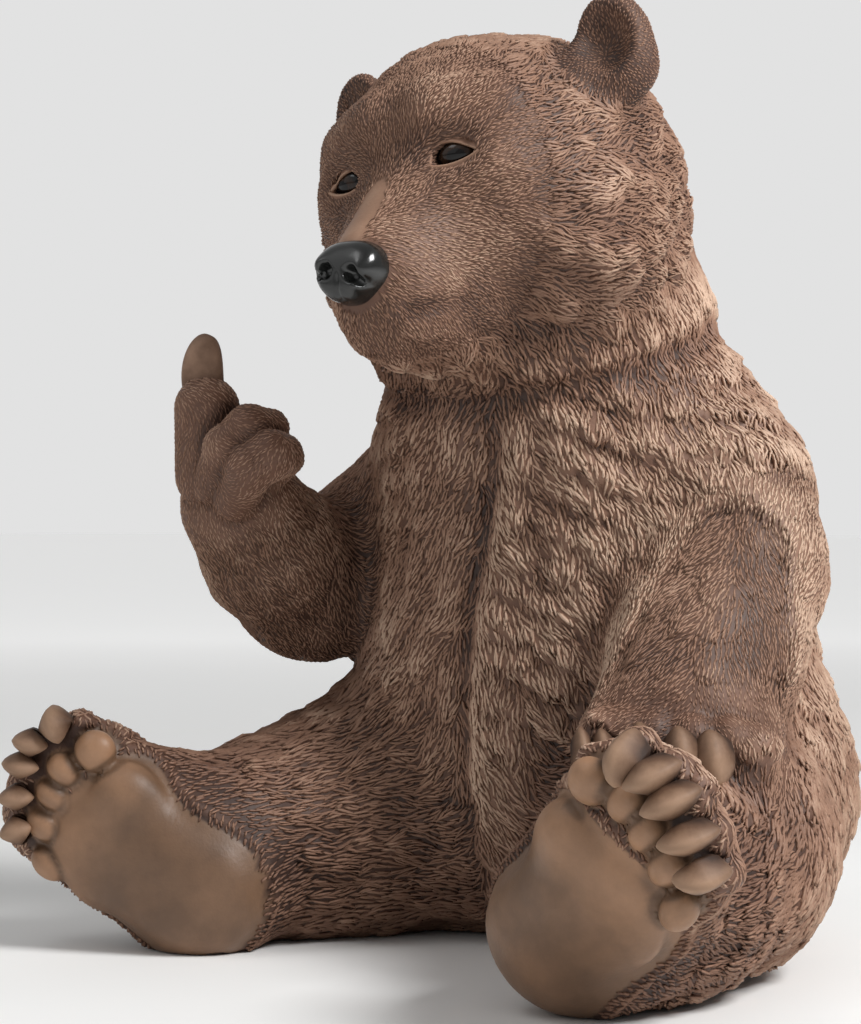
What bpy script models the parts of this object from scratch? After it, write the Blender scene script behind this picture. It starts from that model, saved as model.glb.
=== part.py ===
"""Seated bear garden statue: a hollow-cast resin figure with two inset glass-look eyes.

Metres, +Z up. The bear faces -Y, its left side is +X, and the origin is on the ground under
the middle of the body. The casting is one piece. Its masses are balls and tapered limbs,
remeshed into one skin, melted into each other by formula and then carved with locks of fur.
"""

import math

import bmesh
import bpy
import numpy as np
from mathutils import Matrix, Vector

NAME = "bear_garden_statue"

# Driving dimensions
HEAD_CENTRE = (0.0, -0.055, 0.300)
HEAD_TILT = -8.5            # degrees about the front-back axis: its right ear is the lower one
HEAD_TURN = 2.5             # degrees towards its left
HIP_SPREAD = 0.055          # half the distance between the hip joints
SHOULDER_HEIGHT = 0.176
SKIN_STEP = 0.0030          # voxel of the first skin
TRIANGLES = 8500            # of the finished casting
SEAT = 0.0                  # height of the flat underside

# Carved fur
LOCK_LENGTH = 0.027
LOCK_WIDTH = 0.0095         # half of it
LOCK_RISE = 0.0036
LOCK_SPACING = 0.0125
ROLL_PITCH = 0.021          # the heavy folds of the coat on the flanks
ROLL_RISE = 0.0026

# Eyes
EYE_PLACES = {1: (0.0215, -0.0645, -0.0057), -1: (-0.0271, -0.0635, -0.0057)}   # in the head's own frame
EYE_RADII = (0.0090, 0.0068, 0.0064)
EYE_TURN = 18.0                          # degrees outward from straight ahead
SEAT_GAP = 0.0003


# Shapes

def turn_matrix(degrees):
    """The rotation made by turns about X, then Y, then Z."""
    rx, ry, rz = (math.radians(a) for a in degrees)
    turn = Matrix.Rotation(rz, 3, "Z") @ Matrix.Rotation(ry, 3, "Y") @ Matrix.Rotation(rx, 3, "X")
    return np.array(turn)


def melt_into(a, b, width):
    """Smooth minimum of two distances: the shapes run into each other over the width."""
    h = np.maximum(width - np.abs(a - b), 0.0) / width
    return np.minimum(a, b) - h * h * width / 4


class Ball:
    """An ellipsoid with a centre, three radii and turns in degrees about X, Y and Z."""

    def __init__(self, centre, radii, turn=(0, 0, 0)):
        self.centre = np.array(centre, float)
        self.radii = np.array(radii, float)
        self.axes = turn_matrix(turn)

    def distance(self, points):
        """Distance to the surface: k0 (k0 - 1) / k1, with k0 and k1 the scaled lengths."""
        local = (points - self.centre) @ self.axes
        k0 = np.linalg.norm(local / self.radii, axis=1)
        k1 = np.linalg.norm(local / self.radii ** 2, axis=1)
        return k0 * (k0 - 1) / np.maximum(k1, 1e-9)

    def add_to(self, mesh, frame):
        size = Matrix.Diagonal(Vector(self.radii)).to_4x4()
        place = Matrix.Translation(Vector(self.centre)) @ Matrix(self.axes.tolist()).to_4x4()
        bmesh.ops.create_uvsphere(mesh, u_segments=24, v_segments=16, radius=1.0,
                                  matrix=frame @ place @ size)


class Limb:
    """A round bar that tapers evenly from one ball to another."""

    def __init__(self, start, end, start_radius, end_radius):
        self.start = np.array(start, float)
        self.end = np.array(end, float)
        self.radii = (start_radius, end_radius)

    def distance(self, points):
        """Exact distance to the cone that wraps both balls, or to the nearer ball."""
        r1, r2 = self.radii
        axis = self.end - self.start
        length2 = axis @ axis
        drop = r1 - r2
        slope2 = length2 - drop * drop
        away = points - self.start
        along = away @ axis
        beyond = along - length2
        across = np.linalg.norm(away * length2 - np.outer(along, axis), axis=1) ** 2
        side = np.sign(drop) * drop * drop * across
        past_end = np.sign(beyond) * slope2 * beyond ** 2 * length2 > side
        past_start = np.sign(along) * slope2 * along ** 2 * length2 < side
        on_end = np.sqrt(across + beyond ** 2 * length2) / length2 - r2
        on_start = np.sqrt(across + along ** 2 * length2) / length2 - r1
        on_side = (np.sqrt(across * slope2 / length2) + along * drop) / length2 - r1
        return np.where(past_end, on_end, np.where(past_start, on_start, on_side))

    def add_to(self, mesh, frame):
        span = Vector(self.end - self.start)
        upright = span.to_track_quat("Z", "Y").to_matrix().to_4x4()
        middle = Matrix.Translation(Vector((self.start + self.end) / 2))
        bmesh.ops.create_cone(mesh, cap_ends=True, segments=24, radius1=self.radii[0],
                              radius2=self.radii[1], depth=span.length,
                              matrix=frame @ middle @ upright)
        for centre, radius in zip((self.start, self.end), self.radii):
            bmesh.ops.create_uvsphere(mesh, u_segments=24, v_segments=16, radius=radius,
                                      matrix=frame @ Matrix.Translation(Vector(centre)))


class Cluster:
    """Shapes melted together one after another, in a frame of their own."""

    def __init__(self, origin=(0, 0, 0), axes=None):
        self.origin = np.array(origin, float)
        self.axes = np.eye(3) if axes is None else np.array(axes, float)
        self.steps = []

    def add(self, shape, melt=0.002):
        self.steps.append((shape, melt, 1))
        return self

    def carve(self, shape, melt=0.002):
        self.steps.append((shape, melt, -1))
        return self

    def chain(self, joints, inner, melt):
        """A row of limbs through joints given as x, y, z, radius."""
        row = Cluster()
        for a, b in zip(joints[:-1], joints[1:]):
            row.add(Limb(a[:3], b[:3], a[3], b[3]), inner)
        return self.add(row, melt)

    def distance(self, points):
        local = (points - self.origin) @ self.axes
        total = None
        for shape, melt, sign in self.steps:
            near = shape.distance(local)
            if total is None:
                total = near
            elif sign > 0:
                total = melt_into(total, near, melt)
            else:
                total = -melt_into(-total, near, melt)
        return total

    def add_to(self, mesh, frame=Matrix.Identity(4)):
        own = Matrix.Translation(Vector(self.origin)) @ Matrix(self.axes.tolist()).to_4x4()
        for shape, _, sign in self.steps:
            if sign > 0:
                shape.add_to(mesh, frame @ own)


# The bear's masses

HEAD_AXES = turn_matrix((0, HEAD_TILT, HEAD_TURN))


def make_torso():
    torso = Cluster()
    torso.add(Ball((-0.001, 0.003, 0.158), (0.081, 0.068, 0.072)))
    torso.add(Ball((-0.003, 0.002, 0.105), (0.094, 0.079, 0.085)), 0.030)
    torso.add(Ball((0.053, -0.002, 0.180), (0.032, 0.036, 0.037)), 0.020)
    torso.add(Ball((-0.056, -0.014, 0.186), (0.032, 0.036, 0.042)), 0.020)
    torso.add(Ball((-0.002, 0.016, 0.060), (0.095, 0.076, 0.068)), 0.025)
    torso.add(Limb((0, -0.012, 0.200), (0, -0.034, 0.283), 0.066, 0.055), 0.030)
    torso.add(Ball((-0.003, -0.0470, 0.2190), (0.054, 0.036, 0.042)), 0.020)
    return torso


def make_head():
    head = Cluster(HEAD_CENTRE, HEAD_AXES)
    head.add(Ball((0, 0.000, 0), (0.060, 0.060, 0.0502)))
    head.add(Ball((0, -0.034, 0.004), (0.0408, 0.0375, 0.036)), 0.020)
    for side in (-1, 1):
        head.add(Ball((0.030 * side, -0.020, -0.034), (0.036, 0.042, 0.036)), 0.025)
    head.add(Limb((0, -0.040, -0.024), (0, -0.0855, -0.0505), 0.036, 0.0218), 0.022)
    head.add(Limb((0, -0.060, -0.022), (0, -0.0960, -0.0435), 0.018, 0.0120), 0.012)
    head.add(Limb((0, -0.026, -0.057), (0, -0.0840, -0.0655), 0.026, 0.0138), 0.016)
    head.add(Ball((0, -0.0900, -0.0605), (0.0155, 0.0135, 0.0120)), 0.008)
    for side in (-1, 1):
        brow = Limb((0.014 * side, -0.0640, 0.0115), (0.036 * side, -0.0530, 0.0100), 0.009, 0.009)
        head.add(brow, 0.014)
        head.add(Ball((0.026 * side, -0.0565, -0.0105), (0.0170, 0.0150, 0.0120)), 0.016)
    for side in (-1, 1):
        head.carve(Ball((0.0265 * side, -0.0805, -0.0045), (0.0125, 0.0100, 0.0085)), 0.008)
    for side, x, y, z in ((1, 0.0580, -0.0075, 0.0340), (-1, -0.0610, -0.0060, 0.0335)):
        turn = (-8, 6 * (side - 1), 28 * side)
        ear = Cluster()
        ear.add(Ball((x, y, z), (0.0146, 0.0105, 0.0204), turn))
        ear.add(Ball((x + 0.0005 * side, y + 0.001, z - 0.0080), (0.0140, 0.0100, 0.0135), turn), 0.005)
        ear.carve(Ball((x - 0.001 * side, y - 0.012, z + 0.003), (0.0135, 0.0110, 0.0155), turn), 0.004)
        head.add(ear, 0.010)
    nose = Cluster()
    for side in (-1, 1):
        nose.add(Ball((0.0062 * side, -0.1045, -0.0460), (0.0085, 0.0115, 0.0102)), 0.004)
    nose.add(Ball((0, -0.1035, -0.0515), (0.0090, 0.0108, 0.0090)), 0.004)
    head.add(nose, 0.0015)
    return head


# x, y, half width and half length of each toe pad
TOES = ((-0.0208, 0.0638, 0.0082, 0.0082), (-0.0072, 0.0688, 0.0062, 0.0076), (0.0038, 0.0664, 0.0058, 0.0076),
        (0.0156, 0.0622, 0.0062, 0.0080), (0.0266, 0.0518, 0.0062, 0.0082))
# x and y of each claw's root, then of its tip, and half its width
CLAWS = ((-0.0169, 0.0880, -0.0112, 0.0805, 0.0062), (-0.0023, 0.0920, -0.0073, 0.0829, 0.0050),
         (0.0078, 0.0903, 0.0018, 0.0799, 0.0048), (0.0195, 0.0838, 0.0122, 0.0753, 0.0047),
         (0.0295, 0.0750, 0.0230, 0.0703, 0.0053))


def foot_axes(along, off_sole, side):
    """Columns: outward across the sole, heel to toes, and out of the sole."""
    off = np.array(off_sole, float)
    off /= np.linalg.norm(off)
    up = np.array(along, float)
    up -= off * (up @ off)
    up /= np.linalg.norm(up)
    return np.stack([np.cross(up, off) * side, up, off], axis=1)


def make_foot(heel, along, off_sole, side, pad_shift, claw_shift):
    foot = Cluster(heel, foot_axes(along, off_sole, side))
    toes = Cluster((*pad_shift, 0.0))
    claws = Cluster((*claw_shift, 0.0))
    foot.add(Ball((0, -0.004, -0.015), (0.0310, 0.0290, 0.0270)))
    foot.add(Ball((0.002, 0.034, -0.020), (0.0335, 0.0320, 0.0270)), 0.020)
    foot.add(Ball((0.003, 0.060, -0.0125), (0.0325, 0.0240, 0.0145)), 0.012)
    pad = Cluster()
    pad.add(Ball((-0.001, -0.003, -0.002), (0.0255, 0.0255, 0.0130)))
    pad.add(Ball((0.003, 0.030, -0.002), (0.0275, 0.0240, 0.0110)), 0.015)
    pad.add(Ball((-0.016, 0.042, -0.002), (0.0110, 0.0120, 0.0100)), 0.010)
    pad.add(Ball((0.007, 0.0445, -0.002), (0.0200, 0.0125, 0.0090)), 0.006)
    foot.add(pad, 0.0015)
    for root_x, root_y, tip_x, tip_y, across in CLAWS:
        claws.add(Ball((root_x, root_y - 0.0065, -0.0080), (0.0062, 0.0056, 0.0072)), 0.004)
    for x, y, across, length in TOES:
        toes.add(Ball((x, y, 0.0005), (across, length, 0.0065)), 0.0012)
    for root_x, root_y, tip_x, tip_y, across in CLAWS:
        lean = math.degrees(math.atan2(tip_x - root_x, root_y - tip_y))
        middle = ((root_x + tip_x) / 2, (root_y + tip_y) / 2 + 0.001, 0.0022)
        claws.add(Ball(middle, (across, 0.0088, 0.0055), (-38, 0, lean)), 0.0012)
    foot.add(claws, 0.0012)
    foot.add(toes, 0.0012)
    return foot


LEFT_FOOT = make_foot((0.0932, -0.1579, 0.0263), (0.686, -0.287, 0.669), (-0.084, -0.944, -0.318), 1,
                      (0.0017, 0.0023), (0.0017, 0.0023))
RIGHT_FOOT = make_foot((-0.0950, -0.1348, 0.0238), (-0.665, -0.420, 0.6175), (0.436, -0.890, -0.136), -1,
                       (-0.0009, -0.0035), (-0.0057, -0.0090))


def make_legs():
    legs = Cluster()
    left = ((HIP_SPREAD, 0.006, 0.0585, 0.053), (0.090, -0.054, 0.045, 0.0405),
            (0.0995, -0.105, 0.039, 0.036), (0.103, -0.130, 0.038, 0.031))
    right = ((-HIP_SPREAD, 0.002, 0.060, 0.061), (-0.088, -0.050, 0.0425, 0.0425),
             (-0.102, -0.090, 0.038, 0.0325), (-0.108, -0.110, 0.040, 0.029))
    legs.chain(left, 0.022, 0.001)
    legs.chain(right, 0.022, 0.001)
    legs.add(LEFT_FOOT, 0.014)
    legs.add(RIGHT_FOOT, 0.014)
    return legs


PAW_FINGERS = ((0.0750, -0.1000, 0.0912), (0.0830, -0.0972, 0.0915), (0.0915, -0.0940, 0.0912),
               (0.1045, -0.0890, 0.0902), (0.1145, -0.0810, 0.0892))
PAW_CLAWS = ((0.0765, -0.1105, 0.0865), (0.0840, -0.1080, 0.0858), (0.0955, -0.1025, 0.0855),
             (0.1090, -0.0985, 0.0845), (0.1172, -0.0915, 0.0832))
PAW_CLAW_WIDTHS = (0.0042, 0.0046, 0.0052, 0.0056, 0.0066)


def make_resting_arm():
    """Its left arm: down from the shoulder, with the paw on the thigh behind the foot."""
    arm = Cluster()
    arm.chain(((0.066, 0.000, SHOULDER_HEIGHT, 0.032), (0.076, -0.014, 0.146, 0.032),
               (0.081, -0.042, 0.116, 0.033), (0.086, -0.062, 0.099, 0.031)), 0.012, 0.001)
    arm.add(Ball((0.090, -0.074, 0.090), (0.036, 0.022, 0.019), (28, 0, 40)), 0.010)
    for x, y, z in PAW_FINGERS:
        arm.add(Ball((x, y, z), (0.0082, 0.0100, 0.0085), (0, 0, 42)), 0.003)
    arm.add(Ball((0.1202, -0.0765, 0.0850), (0.0110, 0.0114, 0.0106)), 0.004)
    for (x, y, z), across in zip(PAW_CLAWS, PAW_CLAW_WIDTHS):
        arm.add(Ball((x, y, z), (across, 0.0070, 0.0088), (20, -14, 42)), 0.001)
    return arm


FINGERS = (         # x, y, z and radius at the joints of the raised finger, three curled ones and the thumb
    ((-0.1022, -0.1145, 0.1835, 0.0126), (-0.1008, -0.1165, 0.2095, 0.0126)),
    ((-0.0947, -0.1197, 0.1798, 0.0075), (-0.0833, -0.1247, 0.1942, 0.0080),
     (-0.0770, -0.1185, 0.2019, 0.0082), (-0.0773, -0.1060, 0.2019, 0.0074)),
    ((-0.0863, -0.1157, 0.1751, 0.0090), (-0.0731, -0.1218, 0.1869, 0.0092),
     (-0.0667, -0.1181, 0.1910, 0.0092), (-0.0673, -0.1110, 0.1912, 0.0086)),
    ((-0.0880, -0.1050, 0.1800, 0.0085), (-0.0743, -0.1012, 0.1905, 0.0078)),
    ((-0.1090, -0.1040, 0.1900, 0.0105), (-0.1100, -0.0960, 0.2000, 0.0095), (-0.1060, -0.0870, 0.1990, 0.0085)),
)


def make_raised_arm():
    """Its right arm: bent at the elbow, the hand up with one finger raised and three curled."""
    arm = Cluster()
    arm.chain(((-0.078, -0.002, SHOULDER_HEIGHT, 0.032), (-0.1048, -0.0502, 0.1383, 0.0278),
               (-0.1032, -0.0758, 0.1537, 0.0270), (-0.1003, -0.0974, 0.1714, 0.0212),
               (-0.1004, -0.1013, 0.1859, 0.0182)), 0.010, 0.001)
    for joints in FINGERS:
        arm.chain(joints, 0.003, 0.0025)
    arm.add(Limb((-0.1030, -0.1175, 0.2170), (-0.1018, -0.1140, 0.2345), 0.0068, 0.0028), 0.0012)
    return arm


def make_bear():
    bear = Cluster()
    bear.add(make_torso())
    bear.add(make_head(), 0.022)
    bear.add(make_legs(), 0.022)
    bear.add(make_resting_arm(), 0.012)
    bear.add(make_raised_arm(), 0.012)
    return bear


# Fur: where it lies, which way it runs, and how it stands off the skin

def smooth_step(value, low, high):
    t = np.clip((value - low) / (high - low), 0, 1)
    return t * t * (3 - 2 * t)


def unit(rows):
    return rows / np.maximum(np.linalg.norm(rows, axis=1, keepdims=True), 1e-9)


def near_bar(points, start, end, inner, outer):
    """1 within the inner distance of a bar's axis, falling to 0 at the outer one."""
    start = np.array(start, float)
    axis = np.array(end, float) - start
    along = np.clip((points - start) @ axis / (axis @ axis), 0, 1)
    gap = np.linalg.norm(points - start - np.outer(along, axis), axis=1)
    return 1 - smooth_step(gap, inner, outer)


BARS = (    # start, end, inner and outer reach of each stretch that the fur follows
    ((HIP_SPREAD, -0.020, 0.052), (0.100, -0.120, 0.040), 0.044, 0.070),
    ((-HIP_SPREAD, -0.020, 0.055), (-0.105, -0.105, 0.040), 0.044, 0.070),
    ((0.072, -0.004, 0.155), (0.090, -0.070, 0.095), 0.033, 0.046),
    ((-0.082, -0.010, 0.172), (-0.106, -0.052, 0.137), 0.031, 0.046),
    ((-0.105, -0.060, 0.140), (-0.100, -0.106, 0.195), 0.029, 0.042),
)


def flow(points, normals):
    """Unit direction of the fur: down and out from the chest, along each limb, back from the nose."""
    run = np.zeros_like(points)
    run[:, 0] = 0.55 * np.tanh(points[:, 0] / 0.02)
    run[:, 1] = 0.15
    run[:, 2] = -1.0
    for start, end, inner, outer in BARS:
        share = near_bar(points, start, end, inner, outer)[:, None]
        along = unit(np.array([end]) - np.array([start]))
        run = run * (1 - share) + along * share
    head = smooth_step(points[:, 2] - 0.35 * points[:, 1], 0.240, 0.285)[:, None]
    nose = np.array(HEAD_CENTRE) + HEAD_AXES @ np.array([0, -0.125, -0.030])
    run = run * (1 - head) + unit(points - nose) * head
    run -= normals * np.sum(run * normals, axis=1, keepdims=True)
    return unit(run)


def bare(points):
    """1 on the nose, soles, toe pads, claws and ear cups, and 0 in the fur."""
    share = np.zeros(len(points))
    head = (points - np.array(HEAD_CENTRE)) @ HEAD_AXES
    share = np.maximum(share, 1 - smooth_step(np.linalg.norm(head - [0, -0.109, -0.048], axis=1), 0.016, 0.022))
    for side in (-1, 1):
        eye = np.linalg.norm(head - [0.0260 * side, -0.071, -0.005], axis=1)
        share = np.maximum(share, 1 - smooth_step(eye, 0.011, 0.017))
        ear = np.linalg.norm(head - [0.057 * side, -0.010, 0.036], axis=1)
        share = np.maximum(share, 1 - smooth_step(ear, 0.022, 0.028))
    for foot in (LEFT_FOOT, RIGHT_FOOT):
        local = (points - foot.origin) @ foot.axes
        sole = smooth_step(local[:, 2], -0.012, -0.005)
        reach = 1 - smooth_step(np.abs(local[:, 1] - 0.028), 0.058, 0.070)
        share = np.maximum(share, sole * reach * (np.abs(local[:, 0]) < 0.045))
    hand = near_bar(points, (-0.100, -0.110, 0.196), (-0.104, -0.113, 0.240), 0.022, 0.030)
    paw = near_bar(points, (0.074, -0.112, 0.086), (0.112, -0.080, 0.084), 0.014, 0.020)
    return np.maximum(share, np.maximum(hand, paw))


# Where the shaggy coat ends over the resting arm, and the way down the parting of the chest
SLEEVE = Limb((0.0953, -0.0451, 0.1553), (0.1048, -0.0906, 0.0946), 0.0185, 0.0370)
PARTING = ((0.020, 0.060, 0.100, 0.136, 0.185, 0.210), (-0.014, -0.007, -0.0023, -0.0008, 0.0126, 0.0200))


def coarseness(points):
    """How far the locks stand out: full on the trunk, less on the legs, least on head and arms."""
    fine = smooth_step(points[:, 2] - 0.35 * points[:, 1], 0.262, 0.290)
    for start, end, inner, outer in BARS[2:]:
        fine = np.maximum(fine, near_bar(points, start, end, inner, outer))
    return 1 - 0.65 * fine


def folds(points):
    """Heavy rolls of the coat: each swells down over a pitch and tucks under, with wavy edges."""
    x, y, z = points.T
    wave = 0.0035 * np.sin(55 * x + 34 * y) + 0.0020 * np.sin(118 * y - 47 * x + 1.3)
    level = (z + wave + 0.30 * np.abs(x)) / ROLL_PITCH
    part = level - np.floor(level)
    swell = smooth_step(part, 0.0, 0.16) * (1 - 0.75 * part)
    band = smooth_step(z, 0.075, 0.105) * (1 - smooth_step(z, 0.215, 0.240))
    flank = smooth_step(np.abs(x) + 0.5 * np.maximum(y, 0), 0.018, 0.045)
    collar = z - 0.36 * np.minimum(y, 0) + 0.1 * np.maximum(y, 0) - 0.241
    ruff = np.exp(-(collar / 0.006) ** 2) - 0.8 * smooth_step(collar, 0.002, 0.007) * np.exp(-np.abs(collar) / 0.016)
    front = (y < -0.03) * smooth_step(z, 0.03, 0.06) * (1 - smooth_step(z, 0.19, 0.21))
    middle = np.interp(z, *PARTING)
    parting = np.exp(-((x - middle) / 0.0045) ** 2) * front
    hem = SLEEVE.distance(points)
    sleeve = smooth_step(hem, -0.001, 0.004) * np.exp(-np.maximum(hem, 0) / 0.020) * smooth_step(z, 0.095, 0.115)
    arms = np.zeros(len(points))
    for start, end, inner, outer in BARS[2:]:
        arms = np.maximum(arms, near_bar(points, start, end, inner, outer))
    rolls = (swell - 0.35) * band * flank * (1 - arms)
    return ROLL_RISE * (rolls - 0.9 * ruff - 0.7 * parting + 1.1 * sleeve)


def pick_spread(points, spacing, order):
    """Indices of points that keep at least the spacing apart, taken in the given order."""
    taken = {}
    chosen = []
    cells = np.floor(points / spacing).astype(int)
    for index in order:
        cell = cells[index]
        near = [taken.get((cell[0] + i, cell[1] + j, cell[2] + k))
                for i in (-1, 0, 1) for j in (-1, 0, 1) for k in (-1, 0, 1)]
        gaps = [np.sum((points[index] - points[n]) ** 2) for n in near if n is not None]
        if tuple(cell) in taken or (gaps and min(gaps) < spacing * spacing):
            continue
        taken[tuple(cell)] = index
        chosen.append(index)
    return np.array(chosen)


def locks(points, normals):
    """Overlapping locks: each rises from its root to its tip, then drops onto the next one."""
    order = np.random.default_rng(7).permutation(len(points))
    roots = pick_spread(points, LOCK_SPACING, order)
    run = flow(points, normals)[roots]
    across = np.cross(normals[roots], run)
    rise = np.zeros(len(points))
    for root, along, side in zip(points[roots], run, across):
        away = points - root
        u = away @ along / LOCK_LENGTH + 0.5
        v = away @ side / LOCK_WIDTH
        near = (u > 0) & (u < 1) & (np.abs(v) < 1) & (np.sum(away ** 2, axis=1) < LOCK_LENGTH ** 2)
        u = u[near]
        wide = np.sqrt(np.maximum(1 - u ** 3, 1e-3))
        height = u * (1 - smooth_step(u, 0.68, 1.0)) * np.maximum(1 - (v[near] / wide) ** 2, 0)
        rise[near] = np.maximum(rise[near], height)
    return LOCK_RISE * rise


# Building

def slope(form, points, nudge=2e-4):
    """Gradient of the distance by central differences."""
    steps = np.eye(3) * nudge
    return np.stack([form.distance(points + s) - form.distance(points - s) for s in steps], axis=1) / (2 * nudge)


def settle(form, points, rounds=4):
    """Moves points onto the melted surface, a capped Newton step along the gradient at a time."""
    for _ in range(rounds):
        lean = slope(form, points)
        size = np.maximum(np.sum(lean ** 2, axis=1), 0.25)
        move = np.clip(form.distance(points) / size, -0.0025, 0.0025)
        points = points - move[:, None] * lean
    return points


def read_points(mesh):
    points = np.empty(len(mesh.vertices) * 3)
    mesh.vertices.foreach_get("co", points)
    return points.reshape(-1, 3)


def link(name, mesh, collection):
    item = bpy.data.objects.new(name, mesh)
    collection.objects.link(item)
    return item


def bake(item):
    """Replaces an object's mesh with what its modifiers give."""
    graph = bpy.context.evaluated_depsgraph_get()
    made = bpy.data.meshes.new_from_object(item.evaluated_get(graph))
    item.modifiers.clear()
    old = item.data
    item.data = made
    made.name = item.name
    bpy.data.meshes.remove(old)


def cut(item, cutter):
    boolean = item.modifiers.new("Cut by " + cutter.name, "BOOLEAN")
    boolean.operation = "DIFFERENCE"
    boolean.object = cutter


def helper(item):
    item.hide_render = True
    item.display_type = "WIRE"
    return item


def build_skin(form, collection):
    """Every mass as a primitive, remeshed into one skin, settled on the melted form and carved."""
    shell = bmesh.new()
    form.add_to(shell)
    mesh = bpy.data.meshes.new("body")
    shell.to_mesh(mesh)
    shell.free()
    body = link("body", mesh, collection)
    skin = body.modifiers.new("One skin", "REMESH")
    skin.mode = "VOXEL"
    skin.voxel_size = SKIN_STEP
    bake(body)
    points = settle(form, read_points(body.data))
    normals = unit(slope(form, points))
    fur = 1 - bare(points)
    relief = coarseness(points) * (locks(points, normals) - 0.4 * LOCK_RISE) + folds(points)
    points += normals * (fur * relief)[:, None]
    body.data.vertices.foreach_set("co", points.ravel())
    body.data.update()
    fewer = body.modifiers.new("Fewer faces", "DECIMATE")
    fewer.ratio = TRIANGLES / (2 * len(body.data.polygons))
    bake(body)
    return body


def eye_matrix(side):
    """World place of one eye: its own -Y looks out of the socket."""
    place = Matrix.Translation(Vector(EYE_PLACES[side]))
    turn = Matrix.Rotation(math.radians(EYE_TURN * side), 4, "Z")
    head = Matrix.Translation(Vector(HEAD_CENTRE)) @ Matrix(HEAD_AXES.tolist()).to_4x4()
    return head @ place @ turn


def build_bead(name, side, extra, collection):
    bead = bmesh.new()
    size = Matrix.Diagonal(Vector([r + extra for r in EYE_RADII])).to_4x4()
    bmesh.ops.create_uvsphere(bead, u_segments=16, v_segments=10, radius=1.0, matrix=size)
    mesh = bpy.data.meshes.new(name)
    bead.to_mesh(mesh)
    bead.free()
    mesh.shade_smooth()
    item = link(name, mesh, collection)
    item.matrix_world = eye_matrix(side)
    return item


def build_ground_cutter(collection):
    block = bmesh.new()
    depth = 0.06
    place = Matrix.Translation((0, 0, SEAT - depth / 2)) @ Matrix.Diagonal((0.6, 0.6, depth, 1))
    bmesh.ops.create_cube(block, size=1.0, matrix=place)
    mesh = bpy.data.meshes.new("below_ground")
    block.to_mesh(mesh)
    block.free()
    return helper(link("below_ground", mesh, collection))


def paint(name, colour, roughness, metallic=0.0):
    material = bpy.data.materials.new(name)
    material.use_nodes = True
    shader = material.node_tree.nodes["Principled BSDF"]
    shader.inputs["Base Color"].default_value = (*colour, 1.0)
    shader.inputs["Roughness"].default_value = roughness
    shader.inputs["Metallic"].default_value = metallic
    return material


def main():
    for item in list(bpy.data.objects):
        bpy.data.objects.remove(item)
    parts = bpy.data.collections.new(NAME)
    cutters = bpy.data.collections.new(NAME + "_cutters")
    for collection in (parts, cutters):
        bpy.context.scene.collection.children.link(collection)

    body = build_skin(make_bear(), parts)
    body.data.materials.append(paint("painted_resin", (0.215, 0.118, 0.080), 0.62))
    cut(body, build_ground_cutter(cutters))
    eyes = paint("eye_gloss", (0.010, 0.007, 0.005), 0.05)
    for name, side in (("eye_left", 1), ("eye_right", -1)):
        bead = build_bead(name, side, 0.0, parts)
        bead.data.materials.append(eyes)
        cut(body, helper(build_bead(name + "_socket", side, SEAT_GAP, cutters)))
    body.data.shade_smooth()


if __name__ == "__main__":
    main()
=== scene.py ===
"""Seated bear garden statue: its carved and painted surface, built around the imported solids.

Metres, +Z up. The bear faces -Y, its left side is +X, and it sits on the ground at z = 0.
The casting's masses are balls and tapered limbs, melted into each other by a formula of
distances. A grid of those distances gives one closed skin, which is made finer on the face,
the ears, the feet and the hands, and is then carved with locks and folds. Strands of fur lie
on it along the flow of the coat, each a small closed ridge. Nose, claws, eyes and eyelids are
closed surfaces over two parameters, set where the head and the feet carry them.
"""

import logging
import math
from dataclasses import dataclass, field
from enum import Enum
from typing import Protocol, Sequence

import bpy
import numpy as np
from mathutils import Matrix, Vector


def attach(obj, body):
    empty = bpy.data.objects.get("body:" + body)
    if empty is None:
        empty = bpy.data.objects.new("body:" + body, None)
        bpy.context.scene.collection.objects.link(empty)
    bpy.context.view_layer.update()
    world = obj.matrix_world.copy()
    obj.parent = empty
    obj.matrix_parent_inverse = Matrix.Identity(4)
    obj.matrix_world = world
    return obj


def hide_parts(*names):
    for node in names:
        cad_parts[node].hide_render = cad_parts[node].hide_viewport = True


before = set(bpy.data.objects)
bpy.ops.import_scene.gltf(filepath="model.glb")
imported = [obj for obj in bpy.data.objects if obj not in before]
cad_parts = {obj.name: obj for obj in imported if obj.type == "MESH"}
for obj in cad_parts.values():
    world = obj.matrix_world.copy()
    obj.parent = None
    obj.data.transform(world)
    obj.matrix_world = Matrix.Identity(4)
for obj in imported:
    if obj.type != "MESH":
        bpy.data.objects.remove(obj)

LOG = logging.getLogger("bear")

Array = np.ndarray
Triple = tuple[float, float, float]
Colour = tuple[float, float, float]
Joint = tuple[float, float, float, float]
Range = tuple[float, float]

PICTURE_HEIGHT = 1024


# Small mathematics

def turn_matrix(degrees: Triple) -> Array:
    """Gives the rotation made by turns about X, then Y, then Z.

    Args:
        degrees: the three angles.

    Returns:
        A 3 by 3 matrix whose columns are the turned axes.
    """
    rx, ry, rz = (math.radians(a) for a in degrees)
    turn = Matrix.Rotation(rz, 3, "Z") @ Matrix.Rotation(ry, 3, "Y") @ Matrix.Rotation(rx, 3, "X")
    return np.array(turn)


def smooth_step(value: Array, low: float, high: float) -> Array:
    """Gives 0 below low, 1 above high, and the cubic 3t^2 - 2t^3 between them."""
    t = np.clip((value - low) / (high - low), 0.0, 1.0)
    return t * t * (3.0 - 2.0 * t)


def unit(rows: Array) -> Array:
    """Gives each row scaled to length one."""
    return rows / np.maximum(np.linalg.norm(rows, axis=1, keepdims=True), 1e-9)


def lean(rows: Array, normals: Array) -> Array:
    """Gives each direction laid into the tangent plane of its normal, at length one."""
    return unit(rows - normals * np.sum(rows * normals, axis=1, keepdims=True))


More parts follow.
